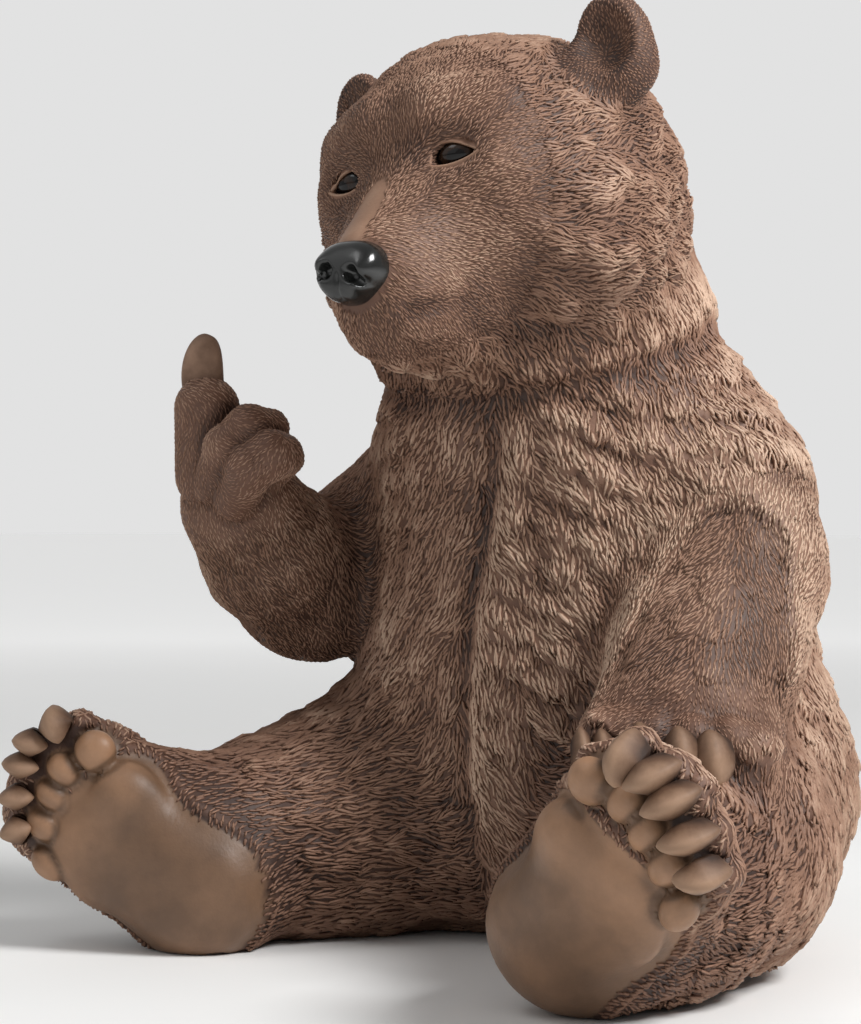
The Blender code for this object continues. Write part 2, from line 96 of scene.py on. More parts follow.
def signed_power(values: Array, exponent: float) -> Array:
    """Gives |v| to the exponent, with the sign of v."""
    return np.sign(values) * np.abs(values) ** exponent


def ripple(points: Array, wavelength: float, seed: int, waves: int = 7) -> Array:
    """Gives a smooth random value at each point, about -1 to 1.

    It is a sum of sine waves that run in random directions, with wavelengths near the given one.

    Args:
        points: the places.
        wavelength: the waves' usual length.
        seed: of the random numbers.
        waves: how many there are.

    Returns:
        A value for each place.
    """
    dice = np.random.default_rng(seed)
    ways = unit(dice.normal(size=(waves, 3))) * dice.uniform(0.7, 1.4, (waves, 1))
    phases = dice.uniform(0.0, 2.0 * math.pi, waves)
    return np.sin(points @ ways.T * (2.0 * math.pi / wavelength) + phases).sum(axis=1) / waves ** 0.5


def near_bar(points: Array, start: Triple, end: Triple, inner: float, outer: float) -> Array:
    """Gives 1 within the inner distance of a bar's axis, falling to 0 at the outer one.

    Args:
        points: the places.
        start: one end of the axis.
        end: the other end.
        inner: the inner distance.
        outer: the outer distance.

    Returns:
        A share for each place.
    """
    first = np.array(start, float)
    axis = np.array(end, float) - first
    along = np.clip((points - first) @ axis / (axis @ axis), 0.0, 1.0)
    gap = np.linalg.norm(points - first - np.outer(along, axis), axis=1)
    return 1.0 - smooth_step(gap, inner, outer)


# Masses

def melt_into(a: Array, b: Array, width: float) -> Array:
    """Smooth minimum of two distances: min(a, b) - h^2 width / 4, h = 1 - |a - b| / width over 0."""
    h = np.maximum(width - np.abs(a - b), 0.0) / width
    return np.minimum(a, b) - h * h * width / 4.0


class Mass(Protocol):
    """Anything that gives its signed distance, below zero inside."""

    def distance(self, points: Array) -> Array:
        """Gives the distance of each point to the surface."""


@dataclass(frozen=True)
class Ball:
    """An ellipsoid with a centre, three radii and turns in degrees about X, Y and Z."""

    centre: Triple
    radii: Triple
    turn: Triple = (0.0, 0.0, 0.0)

    def distance(self, points: Array) -> Array:
        """Distance k0 (k0 - 1) / k1, where k0 and k1 are lengths scaled once and twice by the radii.

        Args:
            points: the places.

        Returns:
            A distance for each place.
        """
        radii = np.array(self.radii)
        local = (points - np.array(self.centre)) @ turn_matrix(self.turn)
        scaled = local / radii
        k0 = np.sqrt(np.einsum("ij,ij->i", scaled, scaled))
        scaled /= radii
        k1 = np.sqrt(np.einsum("ij,ij->i", scaled, scaled))
        return k0 * (k0 - 1.0) / np.maximum(k1, 1e-9)


@dataclass(frozen=True)
class Limb:
    """A round bar that tapers evenly from one ball to another."""

    start: Triple
    end: Triple
    start_radius: float
    end_radius: float

    def distance(self, points: Array) -> Array:
        """Exact distance to the cone that wraps both balls, or to the nearer ball past its ends.

        Args:
            points: the places.

        Returns:
            A distance for each place.
        """
        r1, r2 = self.start_radius, self.end_radius
        first = np.array(self.start, float)
        axis = np.array(self.end, float) - first
        length2 = axis @ axis
        drop = r1 - r2
        slope2 = length2 - drop * drop
        away = points - first
        along = away @ axis
        beyond = along - length2
        off_axis = away * length2 - np.outer(along, axis)
        across = np.einsum("ij,ij->i", off_axis, off_axis)
        side = np.sign(drop) * drop * drop * across
        past_end = np.sign(beyond) * slope2 * beyond ** 2 * length2 > side
        past_start = np.sign(along) * slope2 * along ** 2 * length2 < side
        on_end = np.sqrt(across + beyond ** 2 * length2) / length2 - r2
        on_start = np.sqrt(across + along ** 2 * length2) / length2 - r1
        on_side = (np.sqrt(across * slope2 / length2) + along * drop) / length2 - r1
        return np.where(past_end, on_end, np.where(past_start, on_start, on_side))


@dataclass
class Cluster:
    """Masses melted together one after another, in a frame of their own."""

    origin: Triple = (0.0, 0.0, 0.0)
    axes: Array = field(default_factory=lambda: np.eye(3))
    steps: list[tuple[Mass, float, int]] = field(default_factory=list)

    def add(self, mass: Mass, melt: float = 0.002) -> "Cluster":
        """Melts a mass into the cluster."""
        self.steps.append((mass, melt, 1))
        return self

    def carve(self, mass: Mass, melt: float = 0.002) -> "Cluster":
        """Takes a mass out of the cluster."""
        self.steps.append((mass, melt, -1))
        return self

    def chain(self, joints: Sequence[Joint], inner: float, melt: float) -> "Cluster":
        """Adds a row of limbs through joints.

        Args:
            joints: places and radii, one after another.
            inner: the width of the melt between the limbs.
            melt: the width of the melt into the cluster.

        Returns:
            The cluster itself.
        """
        row = Cluster()
        for a, b in zip(joints[:-1], joints[1:]):
            row.add(Limb(a[:3], b[:3], a[3], b[3]), inner)
        return self.add(row, melt)

    def local(self, points: Array) -> Array:
        """Gives world points in the cluster's own frame."""
        return (points - np.array(self.origin)) @ self.axes

    def world(self, points: Array) -> Array:
        """Gives points of the cluster's own frame in the world."""
        return points @ self.axes.T + np.array(self.origin)

    def distance(self, points: Array) -> Array:
        """Distance to the melted masses.

        Args:
            points: the places.

        Returns:
            A distance for each place.
        """
        local = self.local(points)
        total = self.steps[0][0].distance(local)
        for mass, melt, sign in self.steps[1:]:
            total = sign * melt_into(sign * total, mass.distance(local), melt)
        return total


@dataclass(frozen=True)
class Grounded:
    """A mass cut off flat at the ground: the larger of its own distance and -z."""

    mass: Mass

    def distance(self, points: Array) -> Array:
        """Distance to the cut mass."""
        return np.maximum(self.mass.distance(points), -points[:, 2])


def slope(mass: Mass, points: Array, nudge: float = 2e-4) -> Array:
    """Gradient of the distance, from its values at the four corners of a small tetrahedron.

    Args:
        mass: the mass.
        points: the places.
        nudge: the tetrahedron's half size.

    Returns:
        A gradient for each place.
    """
    corners = np.array(((1, -1, -1), (-1, -1, 1), (-1, 1, -1), (1, 1, 1)), float)
    parts = [corner * mass.distance(points + corner * nudge)[:, None] for corner in corners]
    return sum(parts) / (4.0 * nudge)


LONGEST_STEP = 0.002


def settle(mass: Mass, points: Array, rounds: int) -> Array:
    """Moves points onto a mass's surface, a capped Newton step along the gradient at a time.

    Args:
        mass: the mass.
        points: the places.
        rounds: how many steps each takes.

    Returns:
        The moved places.
    """
    for _ in range(rounds):
        down = slope(mass, points)
        size = np.maximum(np.sum(down ** 2, axis=1), 0.25)
        step = np.clip(mass.distance(points) / size, -LONGEST_STEP, LONGEST_STEP)
        points = points - step[:, None] * down
    return points


# The bear's masses

class Side(Enum):
    """The bear's own left and right."""

    LEFT = 1
    RIGHT = -1


HEAD_CENTRE = (0.0, -0.055, 0.300)
HEAD_TILT = -8.5
HEAD_TURN = 2.5
HIP_SPREAD = 0.055
SHOULDER_HEIGHT = 0.176
EYE_PLACES = {Side.LEFT: (0.0215, -0.0645, -0.0057), Side.RIGHT: (-0.0271, -0.0635, -0.0057)}
EYE_SLIDES = {Side.LEFT: 0.0, Side.RIGHT: -0.0025}
EYE_SLIDE_SHARE = 0.85
EYE_RADII = (0.0090, 0.0068, 0.0064)
EYE_TURN = 18.0
EYE_SLANT = 8.0


@dataclass(frozen=True)
class Toe:
    """One toe on the sole: its pad's place and half sizes, and its claw's root, tip and half width."""

    x: float
    y: float
    half_width: float
    half_length: float
    root: tuple[float, float]
    tip: tuple[float, float]
    claw: float


TOES = (
    Toe(-0.0208, 0.0638, 0.0082, 0.0082, (-0.0169, 0.0880), (-0.0112, 0.0805), 0.0062),
    Toe(-0.0072, 0.0688, 0.0062, 0.0076, (-0.0023, 0.0920), (-0.0073, 0.0829), 0.0050),
    Toe(0.0038, 0.0664, 0.0058, 0.0076, (0.0078, 0.0903), (0.0018, 0.0799), 0.0048),
    Toe(0.0156, 0.0622, 0.0062, 0.0080, (0.0195, 0.0838), (0.0122, 0.0753), 0.0047),
    Toe(0.0266, 0.0518, 0.0062, 0.0082, (0.0295, 0.0750), (0.0230, 0.0703), 0.0053),
)


@dataclass
class Foot:
    """One hind foot: heel, the ways its toes point and its sole faces, and how pads and claws sit."""

    side: Side
    heel: Triple
    along: Triple
    off_sole: Triple
    pad_shift: tuple[float, float]
    claw_shift: tuple[float, float]
    claw_reach: float = 1.0
    claw_bend: float = 0.0

    def axes(self) -> Array:
        """Columns: outward across the sole, heel to toes, and out of the sole.

        Returns:
            A 3 by 3 matrix.
        """
        off = np.array(self.off_sole)
        off = off / np.linalg.norm(off)
        up = np.array(self.along)
        up = up - off * (up @ off)
        up = up / np.linalg.norm(up)
        return np.stack([np.cross(up, off) * self.side.value, up, off], axis=1)

    def frame(self, shift: tuple[float, float] = (0.0, 0.0)) -> Cluster:
        """An empty cluster in the foot's own frame, shifted over the sole."""
        axes = self.axes()
        return Cluster(tuple(np.array(self.heel) + axes @ np.array((*shift, 0.0))), axes)

    def flesh(self) -> Cluster:
        """The furred foot behind the sole, with a small cap of fur behind each claw.

        Returns:
            The cluster.
        """
        foot = self.frame()
        foot.add(Ball((0, -0.004, -0.015), (0.0310, 0.0290, 0.0270)))
        foot.add(Ball((0.002, 0.034, -0.020), (0.0335, 0.0320, 0.0270)), 0.020)
        foot.add(Ball((0.003, 0.060, -0.0125), (0.0325, 0.0240, 0.0145)), 0.012)
        for toe in TOES:
            x, y = toe.root[0] + self.claw_shift[0], toe.root[1] - 0.0065 + self.claw_shift[1]
            foot.add(Ball((x, y, -0.0080), (0.0062, 0.0056, 0.0072)), 0.004)
        return foot

    def sole(self, wider: float = 0.0, lift: float = 0.0) -> Cluster:
        """The big bare pad, its balls made wider and taller by two lengths.

        Args:
            wider: added to the pad's half sizes over the sole.
            lift: added to its height.

        Returns:
            The cluster.
        """
        sole = self.frame()
        w = wider
        sole.add(Ball((-0.001, -0.003, -0.002), (0.0255 + w, 0.0255 + w, 0.0130 + lift)))
        sole.add(Ball((0.003 + w / 2, 0.030, -0.002), (0.0275 + w, 0.0240 + w, 0.0110 + lift)), 0.015)
        sole.add(Ball((-0.016, 0.042, -0.002), (0.0110 + w, 0.0120 + w / 2, 0.0100 + lift)), 0.010)
        sole.add(Ball((0.007, 0.0445, -0.002), (0.0200 + w / 2, 0.0125 + w / 2, 0.0090 + lift)), 0.006)
        return sole

    def toe_pads(self, wider: float = 0.0, lift: float = 0.0) -> Cluster:
        """The five round toe pads, made wider and taller by two lengths.

        Args:
            wider: added to the pads' half sizes over the sole.
            lift: added to their height.

        Returns:
            The cluster.
        """
        pads = self.frame(self.pad_shift)
        for toe in TOES:
            half = (toe.half_width + wider, toe.half_length + wider, 0.0065 + lift)
            pads.add(Ball((toe.x, toe.y, 0.0005), half), 0.0003)
        return pads

    def toe_bed(self) -> Cluster:
        """The bare ground between sole and toe pads and round the claws.

        Returns:
            The cluster.
        """
        bed = self.frame(self.pad_shift)
        across, along = np.array(self.claw_shift) - np.array(self.pad_shift)
        for toe in TOES:
            tip = (toe.tip[0] + across, toe.tip[1] + along, 0.0)
            root = (toe.root[0] + across, toe.root[1] + along, 0.0)
            bed.add(Limb((toe.x, toe.y, 0.0), tip, 0.0066, 0.0060), 0.0020)
            bed.add(Limb(tip, root, 0.0060, 0.0034), 0.0020)
        return bed


LEFT_FOOT = Foot(Side.LEFT, (0.0932, -0.1579, 0.0263), (0.686, -0.287, 0.669), (-0.084, -0.944, -0.318),
                 (0.0017, 0.0023), (0.0017, 0.0023))
RIGHT_FOOT = Foot(Side.RIGHT, (-0.0950, -0.1348, 0.0238), (-0.665, -0.420, 0.6175), (0.436, -0.890, -0.136),
                  (-0.0009, -0.0035), (-0.0057, -0.0090), 0.62, 0.0050)
FEET = (LEFT_FOOT, RIGHT_FOOT)


def torso_mass() -> Cluster:
    """Belly, rump, shoulders, neck and throat.

    Returns:
        The cluster.
    """
    torso = Cluster()
    torso.add(Ball((-0.001, 0.003, 0.158), (0.081, 0.068, 0.072)))
    torso.add(Ball((-0.003, 0.002, 0.105), (0.094, 0.079, 0.085)), 0.030)
    torso.add(Ball((0.053, -0.002, 0.180), (0.032, 0.036, 0.037)), 0.020)
    torso.add(Ball((-0.056, -0.014, 0.186), (0.032, 0.036, 0.042)), 0.020)
    torso.add(Ball((-0.002, 0.016, 0.060), (0.095, 0.076, 0.068)), 0.025)
    torso.add(Limb((0, -0.012, 0.200), (0, -0.034, 0.283), 0.066, 0.055), 0.030)
    torso.add(Ball((-0.003, -0.0470, 0.2190), (0.054, 0.036, 0.042)), 0.020)
    return torso


EARS = ((Side.LEFT, (0.0580, -0.0075, 0.0340)), (Side.RIGHT, (-0.0610, -0.0060, 0.0335)))
MOUTH = ((0.0175, -0.0985, -0.0640), (0.0290, -0.0690, -0.0600))


def head_mass() -> Cluster:
    """Skull, cheeks, muzzle, jaw, brows, eye hollows and ears, in the head's own frame.

    Returns:
        The cluster.
    """
    head = Cluster(HEAD_CENTRE, turn_matrix((0, HEAD_TILT, HEAD_TURN)))
    head.add(Ball((0, 0.000, 0), (0.060, 0.060, 0.0502)))
    head.add(Ball((0, -0.034, 0.004), (0.0408, 0.0375, 0.036)), 0.020)
    for side in (-1, 1):
        head.add(Ball((0.030 * side, -0.020, -0.034), (0.036, 0.042, 0.036)), 0.025)
    head.add(Limb((0, -0.040, -0.024), (0, -0.0855, -0.0505), 0.036, 0.0218), 0.022)
    head.add(Limb((0, -0.060, -0.022), (0, -0.0960, -0.0435), 0.018, 0.0120), 0.012)
    head.add(Limb((0, -0.026, -0.057), (0, -0.0840, -0.0655), 0.026, 0.0138), 0.016)
    head.add(Ball((0, -0.0900, -0.0605), (0.0155, 0.0135, 0.0120)), 0.008)
    for side in (-1, 1):
        brow = Limb((0.014 * side, -0.0640, 0.0115), (0.036 * side, -0.0530, 0.0100), 0.009, 0.009)
        head.add(brow, 0.014)
        head.add(Ball((0.026 * side, -0.0565, -0.0105), (0.0170, 0.0150, 0.0120)), 0.016)
        head.carve(Ball((0.0265 * side, -0.0805, -0.0045), (0.0125, 0.0100, 0.0085)), 0.008)
        front, corner = (tuple(np.array(end) * (side, 1, 1)) for end in MOUTH)
        head.carve(Limb(front, corner, 0.0018, 0.0012), 0.005)
    for side, place in EYE_PLACES.items():
        turn = (0, -EYE_SLANT * side.value, EYE_TURN * side.value)
        slide = EYE_SLIDES[side]
        step = np.array(((EYE_SLIDE_SHARE * slide - 0.0004) * side.value, -0.0060, -0.0003))
        socket = np.array(place) + turn_matrix(turn) @ step
        head.carve(Ball(tuple(socket), (0.0085 + 0.5 * slide, 0.0080, 0.0050), turn), 0.0012)
    for ear_side, (x, y, z) in EARS:
        side = ear_side.value
        turn = (-8, 6 * (side - 1), 28 * side)
        ear = Cluster()
        ear.add(Ball((x, y, z), (0.0146, 0.0105, 0.0204), turn))
        ear.add(Ball((x + 0.0005 * side, y + 0.001, z - 0.0080), (0.0140, 0.0100, 0.0135), turn), 0.005)
        ear.carve(Ball((x - 0.001 * side, y - 0.012, z + 0.003), (0.0135, 0.0110, 0.0155), turn), 0.004)
        head.add(ear, 0.010)
    return head


def leg_mass() -> Cluster:
    """Both hind legs, down to the heels.

    Returns:
        The cluster.
    """
    legs = Cluster()
    left = ((HIP_SPREAD, 0.006, 0.0585, 0.053), (0.090, -0.054, 0.045, 0.0405),
            (0.0995, -0.105, 0.039, 0.036), (0.103, -0.130, 0.038, 0.031))
    right = ((-HIP_SPREAD, 0.002, 0.060, 0.061), (-0.088, -0.050, 0.0425, 0.0425),
             (-0.102, -0.090, 0.038, 0.0325), (-0.108, -0.110, 0.040, 0.029))
    legs.chain(left, 0.022, 0.001)
    legs.chain(right, 0.022, 0.001)
    for foot in FEET:
        legs.add(foot.flesh(), 0.014)
    return legs


PAW_FINGERS = ((0.0750, -0.1000, 0.0912), (0.0830, -0.0972, 0.0915), (0.0915, -0.0940, 0.0912),
               (0.1045, -0.0890, 0.0902), (0.1145, -0.0810, 0.0892))


def resting_arm_mass() -> Cluster:
    """The left arm: down from the shoulder, with the paw on the thigh behind the foot.

    Returns:
        The cluster.
    """
    arm = Cluster()
    arm.chain(((0.066, 0.000, SHOULDER_HEIGHT, 0.032), (0.076, -0.014, 0.146, 0.032),
               (0.081, -0.042, 0.116, 0.033), (0.086, -0.062, 0.099, 0.031)), 0.012, 0.001)
    arm.add(Ball((0.090, -0.074, 0.090), (0.036, 0.022, 0.019), (28, 0, 40)), 0.010)
    for place in PAW_FINGERS:
        arm.add(Ball(place, (0.0082, 0.0100, 0.0085), (0, 0, 42)), 0.003)
    arm.add(Ball((0.1202, -0.0765, 0.0850), (0.0110, 0.0114, 0.0106)), 0.003)
    return arm


FINGERS = (
    ((-0.1022, -0.1145, 0.1835, 0.0126), (-0.1008, -0.1165, 0.2095, 0.0126)),
    ((-0.0947, -0.1197, 0.1798, 0.0075), (-0.0833, -0.1247, 0.1942, 0.0080),
     (-0.0770, -0.1185, 0.2019, 0.0082), (-0.0773, -0.1060, 0.2019, 0.0074)),
    ((-0.0863, -0.1157, 0.1751, 0.0090), (-0.0731, -0.1218, 0.1869, 0.0092),
     (-0.0667, -0.1181, 0.1910, 0.0092), (-0.0673, -0.1110, 0.1912, 0.0086)),
    ((-0.0880, -0.1050, 0.1800, 0.0085), (-0.0743, -0.1012, 0.1905, 0.0078)),
    ((-0.1090, -0.1040, 0.1900, 0.0105), (-0.1100, -0.0960, 0.2000, 0.0095),
     (-0.1060, -0.0870, 0.1990, 0.0085)),
)


def raised_arm_mass() -> Cluster:
    """The right arm: bent at the elbow, the hand up with one finger raised, three curled and a thumb.

    Returns:
        The cluster.
    """
    arm = Cluster()
    arm.chain(((-0.078, -0.002, SHOULDER_HEIGHT, 0.032), (-0.1048, -0.0502, 0.1383, 0.0278),
               (-0.1032, -0.0758, 0.1537, 0.0270), (-0.1003, -0.0974, 0.1714, 0.0212),
               (-0.1004, -0.1013, 0.1859, 0.0182)), 0.010, 0.001)
    for joints in FINGERS:
        arm.chain(joints, 0.003, 0.0015)
    return arm


def furred_mass() -> Cluster:
    """All that carries fur: trunk, head, legs and both arms.

    Returns:
        The cluster.
    """
    bear = Cluster()
    bear.add(torso_mass())
    bear.add(head_mass(), 0.022)
    bear.add(leg_mass(), 0.022)
    bear.add(resting_arm_mass(), 0.012)
    bear.add(raised_arm_mass(), 0.012)
    return bear


def pad_mass() -> Cluster:
    """Soles and toe pads of both feet.

    Returns:
        The cluster.
    """
    pads = Cluster()
    for foot in FEET:
        pads.add(foot.sole(), 0.0003)
        pads.add(foot.toe_pads(), 0.0003)
    return pads


def pad_zone() -> Cluster:
    """The ground that pads cover, taller than they are, so that it holds their tops.

    Returns:
        The cluster.
    """
    zone = Cluster()
    for foot in FEET:
        zone.add(foot.sole(0.0028, 0.010), 0.0003)
        zone.add(foot.toe_pads(0.0010, 0.006), 0.0003)
    return zone


def bare_zone() -> Cluster:
    """The pads' ground together with the toes' bed.

    Returns:
        The cluster.
    """
    zone = pad_zone()
    for foot in FEET:
        zone.add(foot.toe_bed(), 0.0010)
    return zone


HEAD = head_mass()
PADS = pad_mass()
PAD_ZONE = pad_zone()
BARE_ZONE = bare_zone()


# Meshes

@dataclass
class Surface:
    """A closed mesh as arrays: places, triangles that face outwards, and layers of paint values."""

    points: Array
    triangles: Array
    layers: dict[str, Array] = field(default_factory=dict)

    def normals(self) -> Array:
        """Vertex normals: the sum of the area vectors of the triangles round each vertex.

        Returns:
            A unit vector for each vertex.
        """
        a, b, c = (self.points[self.triangles[:, k]] for k in range(3))
        faces = np.cross(b - a, c - a)
        total = np.zeros_like(self.points)
        for axis in range(3):
            for corner in range(3):
                total[:, axis] += np.bincount(self.triangles[:, corner], faces[:, axis], len(self.points))
        return unit(total)

    def areas(self) -> Array:
        """Area of each triangle."""
        a, b, c = (self.points[self.triangles[:, k]] for k in range(3))
        return np.linalg.norm(np.cross(b - a, c - a), axis=1) / 2.0

    def piece(self, name: str, material: bpy.types.Material) -> bpy.types.Object:
        """Makes the mesh a Blender object that rides on the body.

        Args:
            name: the piece's name.
            material: its finish.

        Returns:
            The linked object, at the origin.
        """
        mesh = bpy.data.meshes.new(name)
        mesh.vertices.add(len(self.points))
        mesh.vertices.foreach_set("co", self.points.astype(np.float32).ravel())
        mesh.loops.add(self.triangles.size)
        mesh.loops.foreach_set("vertex_index", self.triangles.astype(np.int32).ravel())
        mesh.polygons.add(len(self.triangles))
        mesh.polygons.foreach_set("loop_start", np.arange(0, self.triangles.size, 3, dtype=np.int32))
        mesh.update(calc_edges=True)
        mesh.validate()
        mesh.shade_smooth()
        for layer, values in self.layers.items():
            attribute = mesh.attributes.new(layer, "FLOAT_COLOR", "POINT")
            attribute.data.foreach_set("color", values.astype(np.float32).ravel())
        mesh.materials.append(material)
        item = bpy.data.objects.new(name, mesh)
        bpy.context.scene.collection.objects.link(item)
        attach(item, "root")
        LOG.info("%s: %d triangles", name, len(self.triangles))
        return item


def joined(parts: Sequence[Surface]) -> Surface:
    """Puts closed surfaces side by side in one.

    Args:
        parts: the surfaces, all with the same layers.

    Returns:
        The one surface.
    """
    counts = np.cumsum([0] + [len(part.points) for part in parts])
    points = np.concatenate([part.points for part in parts])
    triangles = np.concatenate([part.triangles + start for part, start in zip(parts, counts)])
    names = parts[0].layers
    layers = {name: np.concatenate([part.layers[name] for part in parts]) for name in names}
    return Surface(points, triangles, layers)


def closed_grid(rings: Array) -> Surface:
    """Closes a stack of rings with one point at each end.

    Args:
        rings: places, ring by ring, of shape (rings, points round, 3). They wind so that the
            cross product of the way round and the way along the stack faces outwards.

    Returns:
        The closed surface. Its end points are the means of the end rings.
    """
    count, around = rings.shape[:2]
    index = np.arange(count * around).reshape(count, around)
    a = index[:-1]
    b = np.roll(a, -1, axis=1)
    c = index[1:]
    d = np.roll(c, -1, axis=1)
    sides = np.concatenate([np.stack([a, b, d], -1).reshape(-1, 3), np.stack([a, d, c], -1).reshape(-1, 3)])
    first, last = count * around, count * around + 1
    start = np.stack([np.roll(index[0], -1), index[0], np.full(around, first)], -1)
    end = np.stack([index[-1], np.roll(index[-1], -1), np.full(around, last)], -1)
    tips = np.stack([rings[0].mean(axis=0), rings[-1].mean(axis=0)])
    return Surface(np.concatenate([rings.reshape(-1, 3), tips]), np.concatenate([sides, start, end]))


def closed_ring(rings: Array) -> Surface:
    """Joins a closed row of closed rings into a tube without ends.

    Args:
        rings: places, of shape (rings, points round, 3).

    Returns:
        The closed surface.
    """
    count, around = rings.shape[:2]
    a = np.arange(count * around).reshape(count, around)
    b = np.roll(a, -1, axis=1)
    c = np.roll(a, -1, axis=0)
    d = np.roll(c, -1, axis=1)
    faces = np.concatenate([np.stack([a, b, d], -1).reshape(-1, 3), np.stack([a, d, c], -1).reshape(-1, 3)])
    return Surface(rings.reshape(-1, 3), faces)


def facing_out(surface: Surface) -> Surface:
    """Turns every triangle round where the enclosed volume comes out below zero.

    Args:
        surface: a closed surface.

    Returns:
        The same surface.
    """
    a, b, c = (surface.points[surface.triangles[:, k]] for k in range(3))
    if np.einsum("ij,ij->", a, np.cross(b, c)) < 0:
        surface.triangles = surface.triangles[:, ::-1]
    return surface


def sample_distance(mass: Mass, low: Triple, high: Triple, step: float, coarse: int = 4) -> Array:
    """Samples a mass's distance on a grid, in full only near its surface.

    Args:
        mass: the mass.
        low: the lowest corner of the grid.
        high: the corner that it must reach.
        step: the grid's pitch.
        coarse: how many steps apart the first, rough samples are.

    Returns:
        The distances, of shape (x, y, z). Far from the surface they are those of the rough grid.
    """
    blocks = [int(math.ceil((h - l) / step / coarse)) + 1 for l, h in zip(low, high)]
    rough_axes = [l + step * coarse * np.arange(n) for l, n in zip(low, blocks)]
    rough = np.stack(np.meshgrid(*rough_axes, indexing="ij"), -1).reshape(-1, 3)
    distance = mass.distance(rough).reshape(blocks)
    near = np.abs(distance) < step * coarse * 1.9 + 0.002
    for axis in range(3):
        near = near | np.roll(near, -1, axis)
    spread = np.ones((coarse, coarse, coarse), bool)
    full = np.kron(distance, spread)
    index = np.argwhere(np.kron(near, spread))
    values = [mass.distance(part * step + np.array(low)) for part in np.array_split(index, 8)]
    full[tuple(index.T)] = np.concatenate(values)
    return full


def net(distance: Array, low: Triple, step: float) -> Surface:
    """Meshes the zero surface of a grid of distances: one vertex in each cell that it crosses.

    A vertex is the mean of the crossings on its cell's edges, each found by linear
    interpolation. The four cells round each crossed grid edge give two triangles.

    Args:
        distance: the grid, of shape (x, y, z).
        low: its lowest corner.
        step: its pitch.

    Returns:
        The closed surface.
    """
    inside = distance < 0
    nx, ny, nz = distance.shape
    corners = [(i, j, k) for i in (0, 1) for j in (0, 1) for k in (0, 1)]
    count = sum(inside[i:nx - 1 + i, j:ny - 1 + j, k:nz - 1 + k].astype(np.int8) for i, j, k in corners)
    crossed = (count > 0) & (count < 8)
    cells = np.argwhere(crossed)
    number = np.full(crossed.shape, -1, np.int64)
    number[crossed] = np.arange(len(cells))
    value = {corner: distance[tuple((cells + corner).T)] for corner in corners}
    total = np.zeros((len(cells), 3))
    hits = np.zeros(len(cells))
    for corner in corners:
        for axis in range(3):
            if corner[axis]:
                continue
            other = tuple(1 if k == axis else corner[k] for k in range(3))
            v0, v1 = value[corner], value[other]
            cut = (v0 < 0) != (v1 < 0)
            place = np.tile(np.array(corner, float), (len(cells), 1))
            place[cut, axis] += (v0[cut] / (v0[cut] - v1[cut]))
            total[cut] += place[cut]
            hits[cut] += 1
    points = (cells + total / hits[:, None]) * step + np.array(low)
    triangles = []
    for axis in range(3):
        here = [slice(None)] * 3
        there = [slice(None)] * 3
        here[axis] = slice(0, -1)
        there[axis] = slice(1, None)
        first, second = inside[tuple(here)], inside[tuple(there)]
        edges = np.argwhere(first != second)
        u, w = ((1, 2), (2, 0), (0, 1))[axis]
        flip = first[tuple(edges.T)]
        ring = []
        for du, dw in ((-1, -1), (0, -1), (0, 0), (-1, 0)):
            cell = edges.copy()
            cell[:, u] += du
            cell[:, w] += dw
            ring.append(number[tuple(cell.T)])
        quads = np.stack(ring, 1)
        quads[~flip] = quads[~flip][:, ::-1]
        triangles += [quads[:, [0, 1, 2]], quads[:, [0, 2, 3]]]
    return Surface(points, np.concatenate(triangles))


def refined(surface: Surface, wanted: Array) -> Surface:
    """Splits triangles in four at the middles of their sides, and their neighbours to fit.

    Args:
        surface: the mesh.
        wanted: which triangles to split.

    Returns:
        The finer mesh. A triangle with two split sides is split in four as well, and one with
        a single split side in two, so no seam opens.
    """
    corners = surface.triangles
    count = len(surface.points)
    sides = np.stack([corners, np.roll(corners, -1, axis=1)], -1)
    key = sides.min(-1) * count + sides.max(-1)
    edges, index = np.unique(key, return_inverse=True)
    index = index.reshape(-1, 3)
    split = np.zeros(len(edges), bool)
    split[index[wanted]] = True
    while True:
        pair = split[index].sum(1) == 2
        if not pair.any():
            break
        split[index[pair]] = True
    middle = np.full(len(edges), -1)
    middle[split] = count + np.arange(split.sum())
    ends = np.stack([edges[split] // count, edges[split] % count], 1)
    points = np.concatenate([surface.points, surface.points[ends].mean(axis=1)])
    mids = middle[index]
    number = (mids >= 0).sum(1)
    pieces = [corners[number == 0]]
    (a, b, c), (ab, bc, ca) = corners[number == 3].T, mids[number == 3].T
    pieces += [np.stack(tri, 1) for tri in ((a, ab, ca), (ab, b, bc), (ca, bc, c), (ab, bc, ca))]
    for k in range(3):
        rows = (number == 1) & (mids[:, k] >= 0)
        a, b, c = np.roll(corners[rows], -k, axis=1).T
        pieces += [np.stack((a, mids[rows, k], c), 1), np.stack((mids[rows, k], b, c), 1)]
    return Surface(points, np.concatenate(pieces))


# The coat: where it is bare, which way it runs, and how it stands off the skin

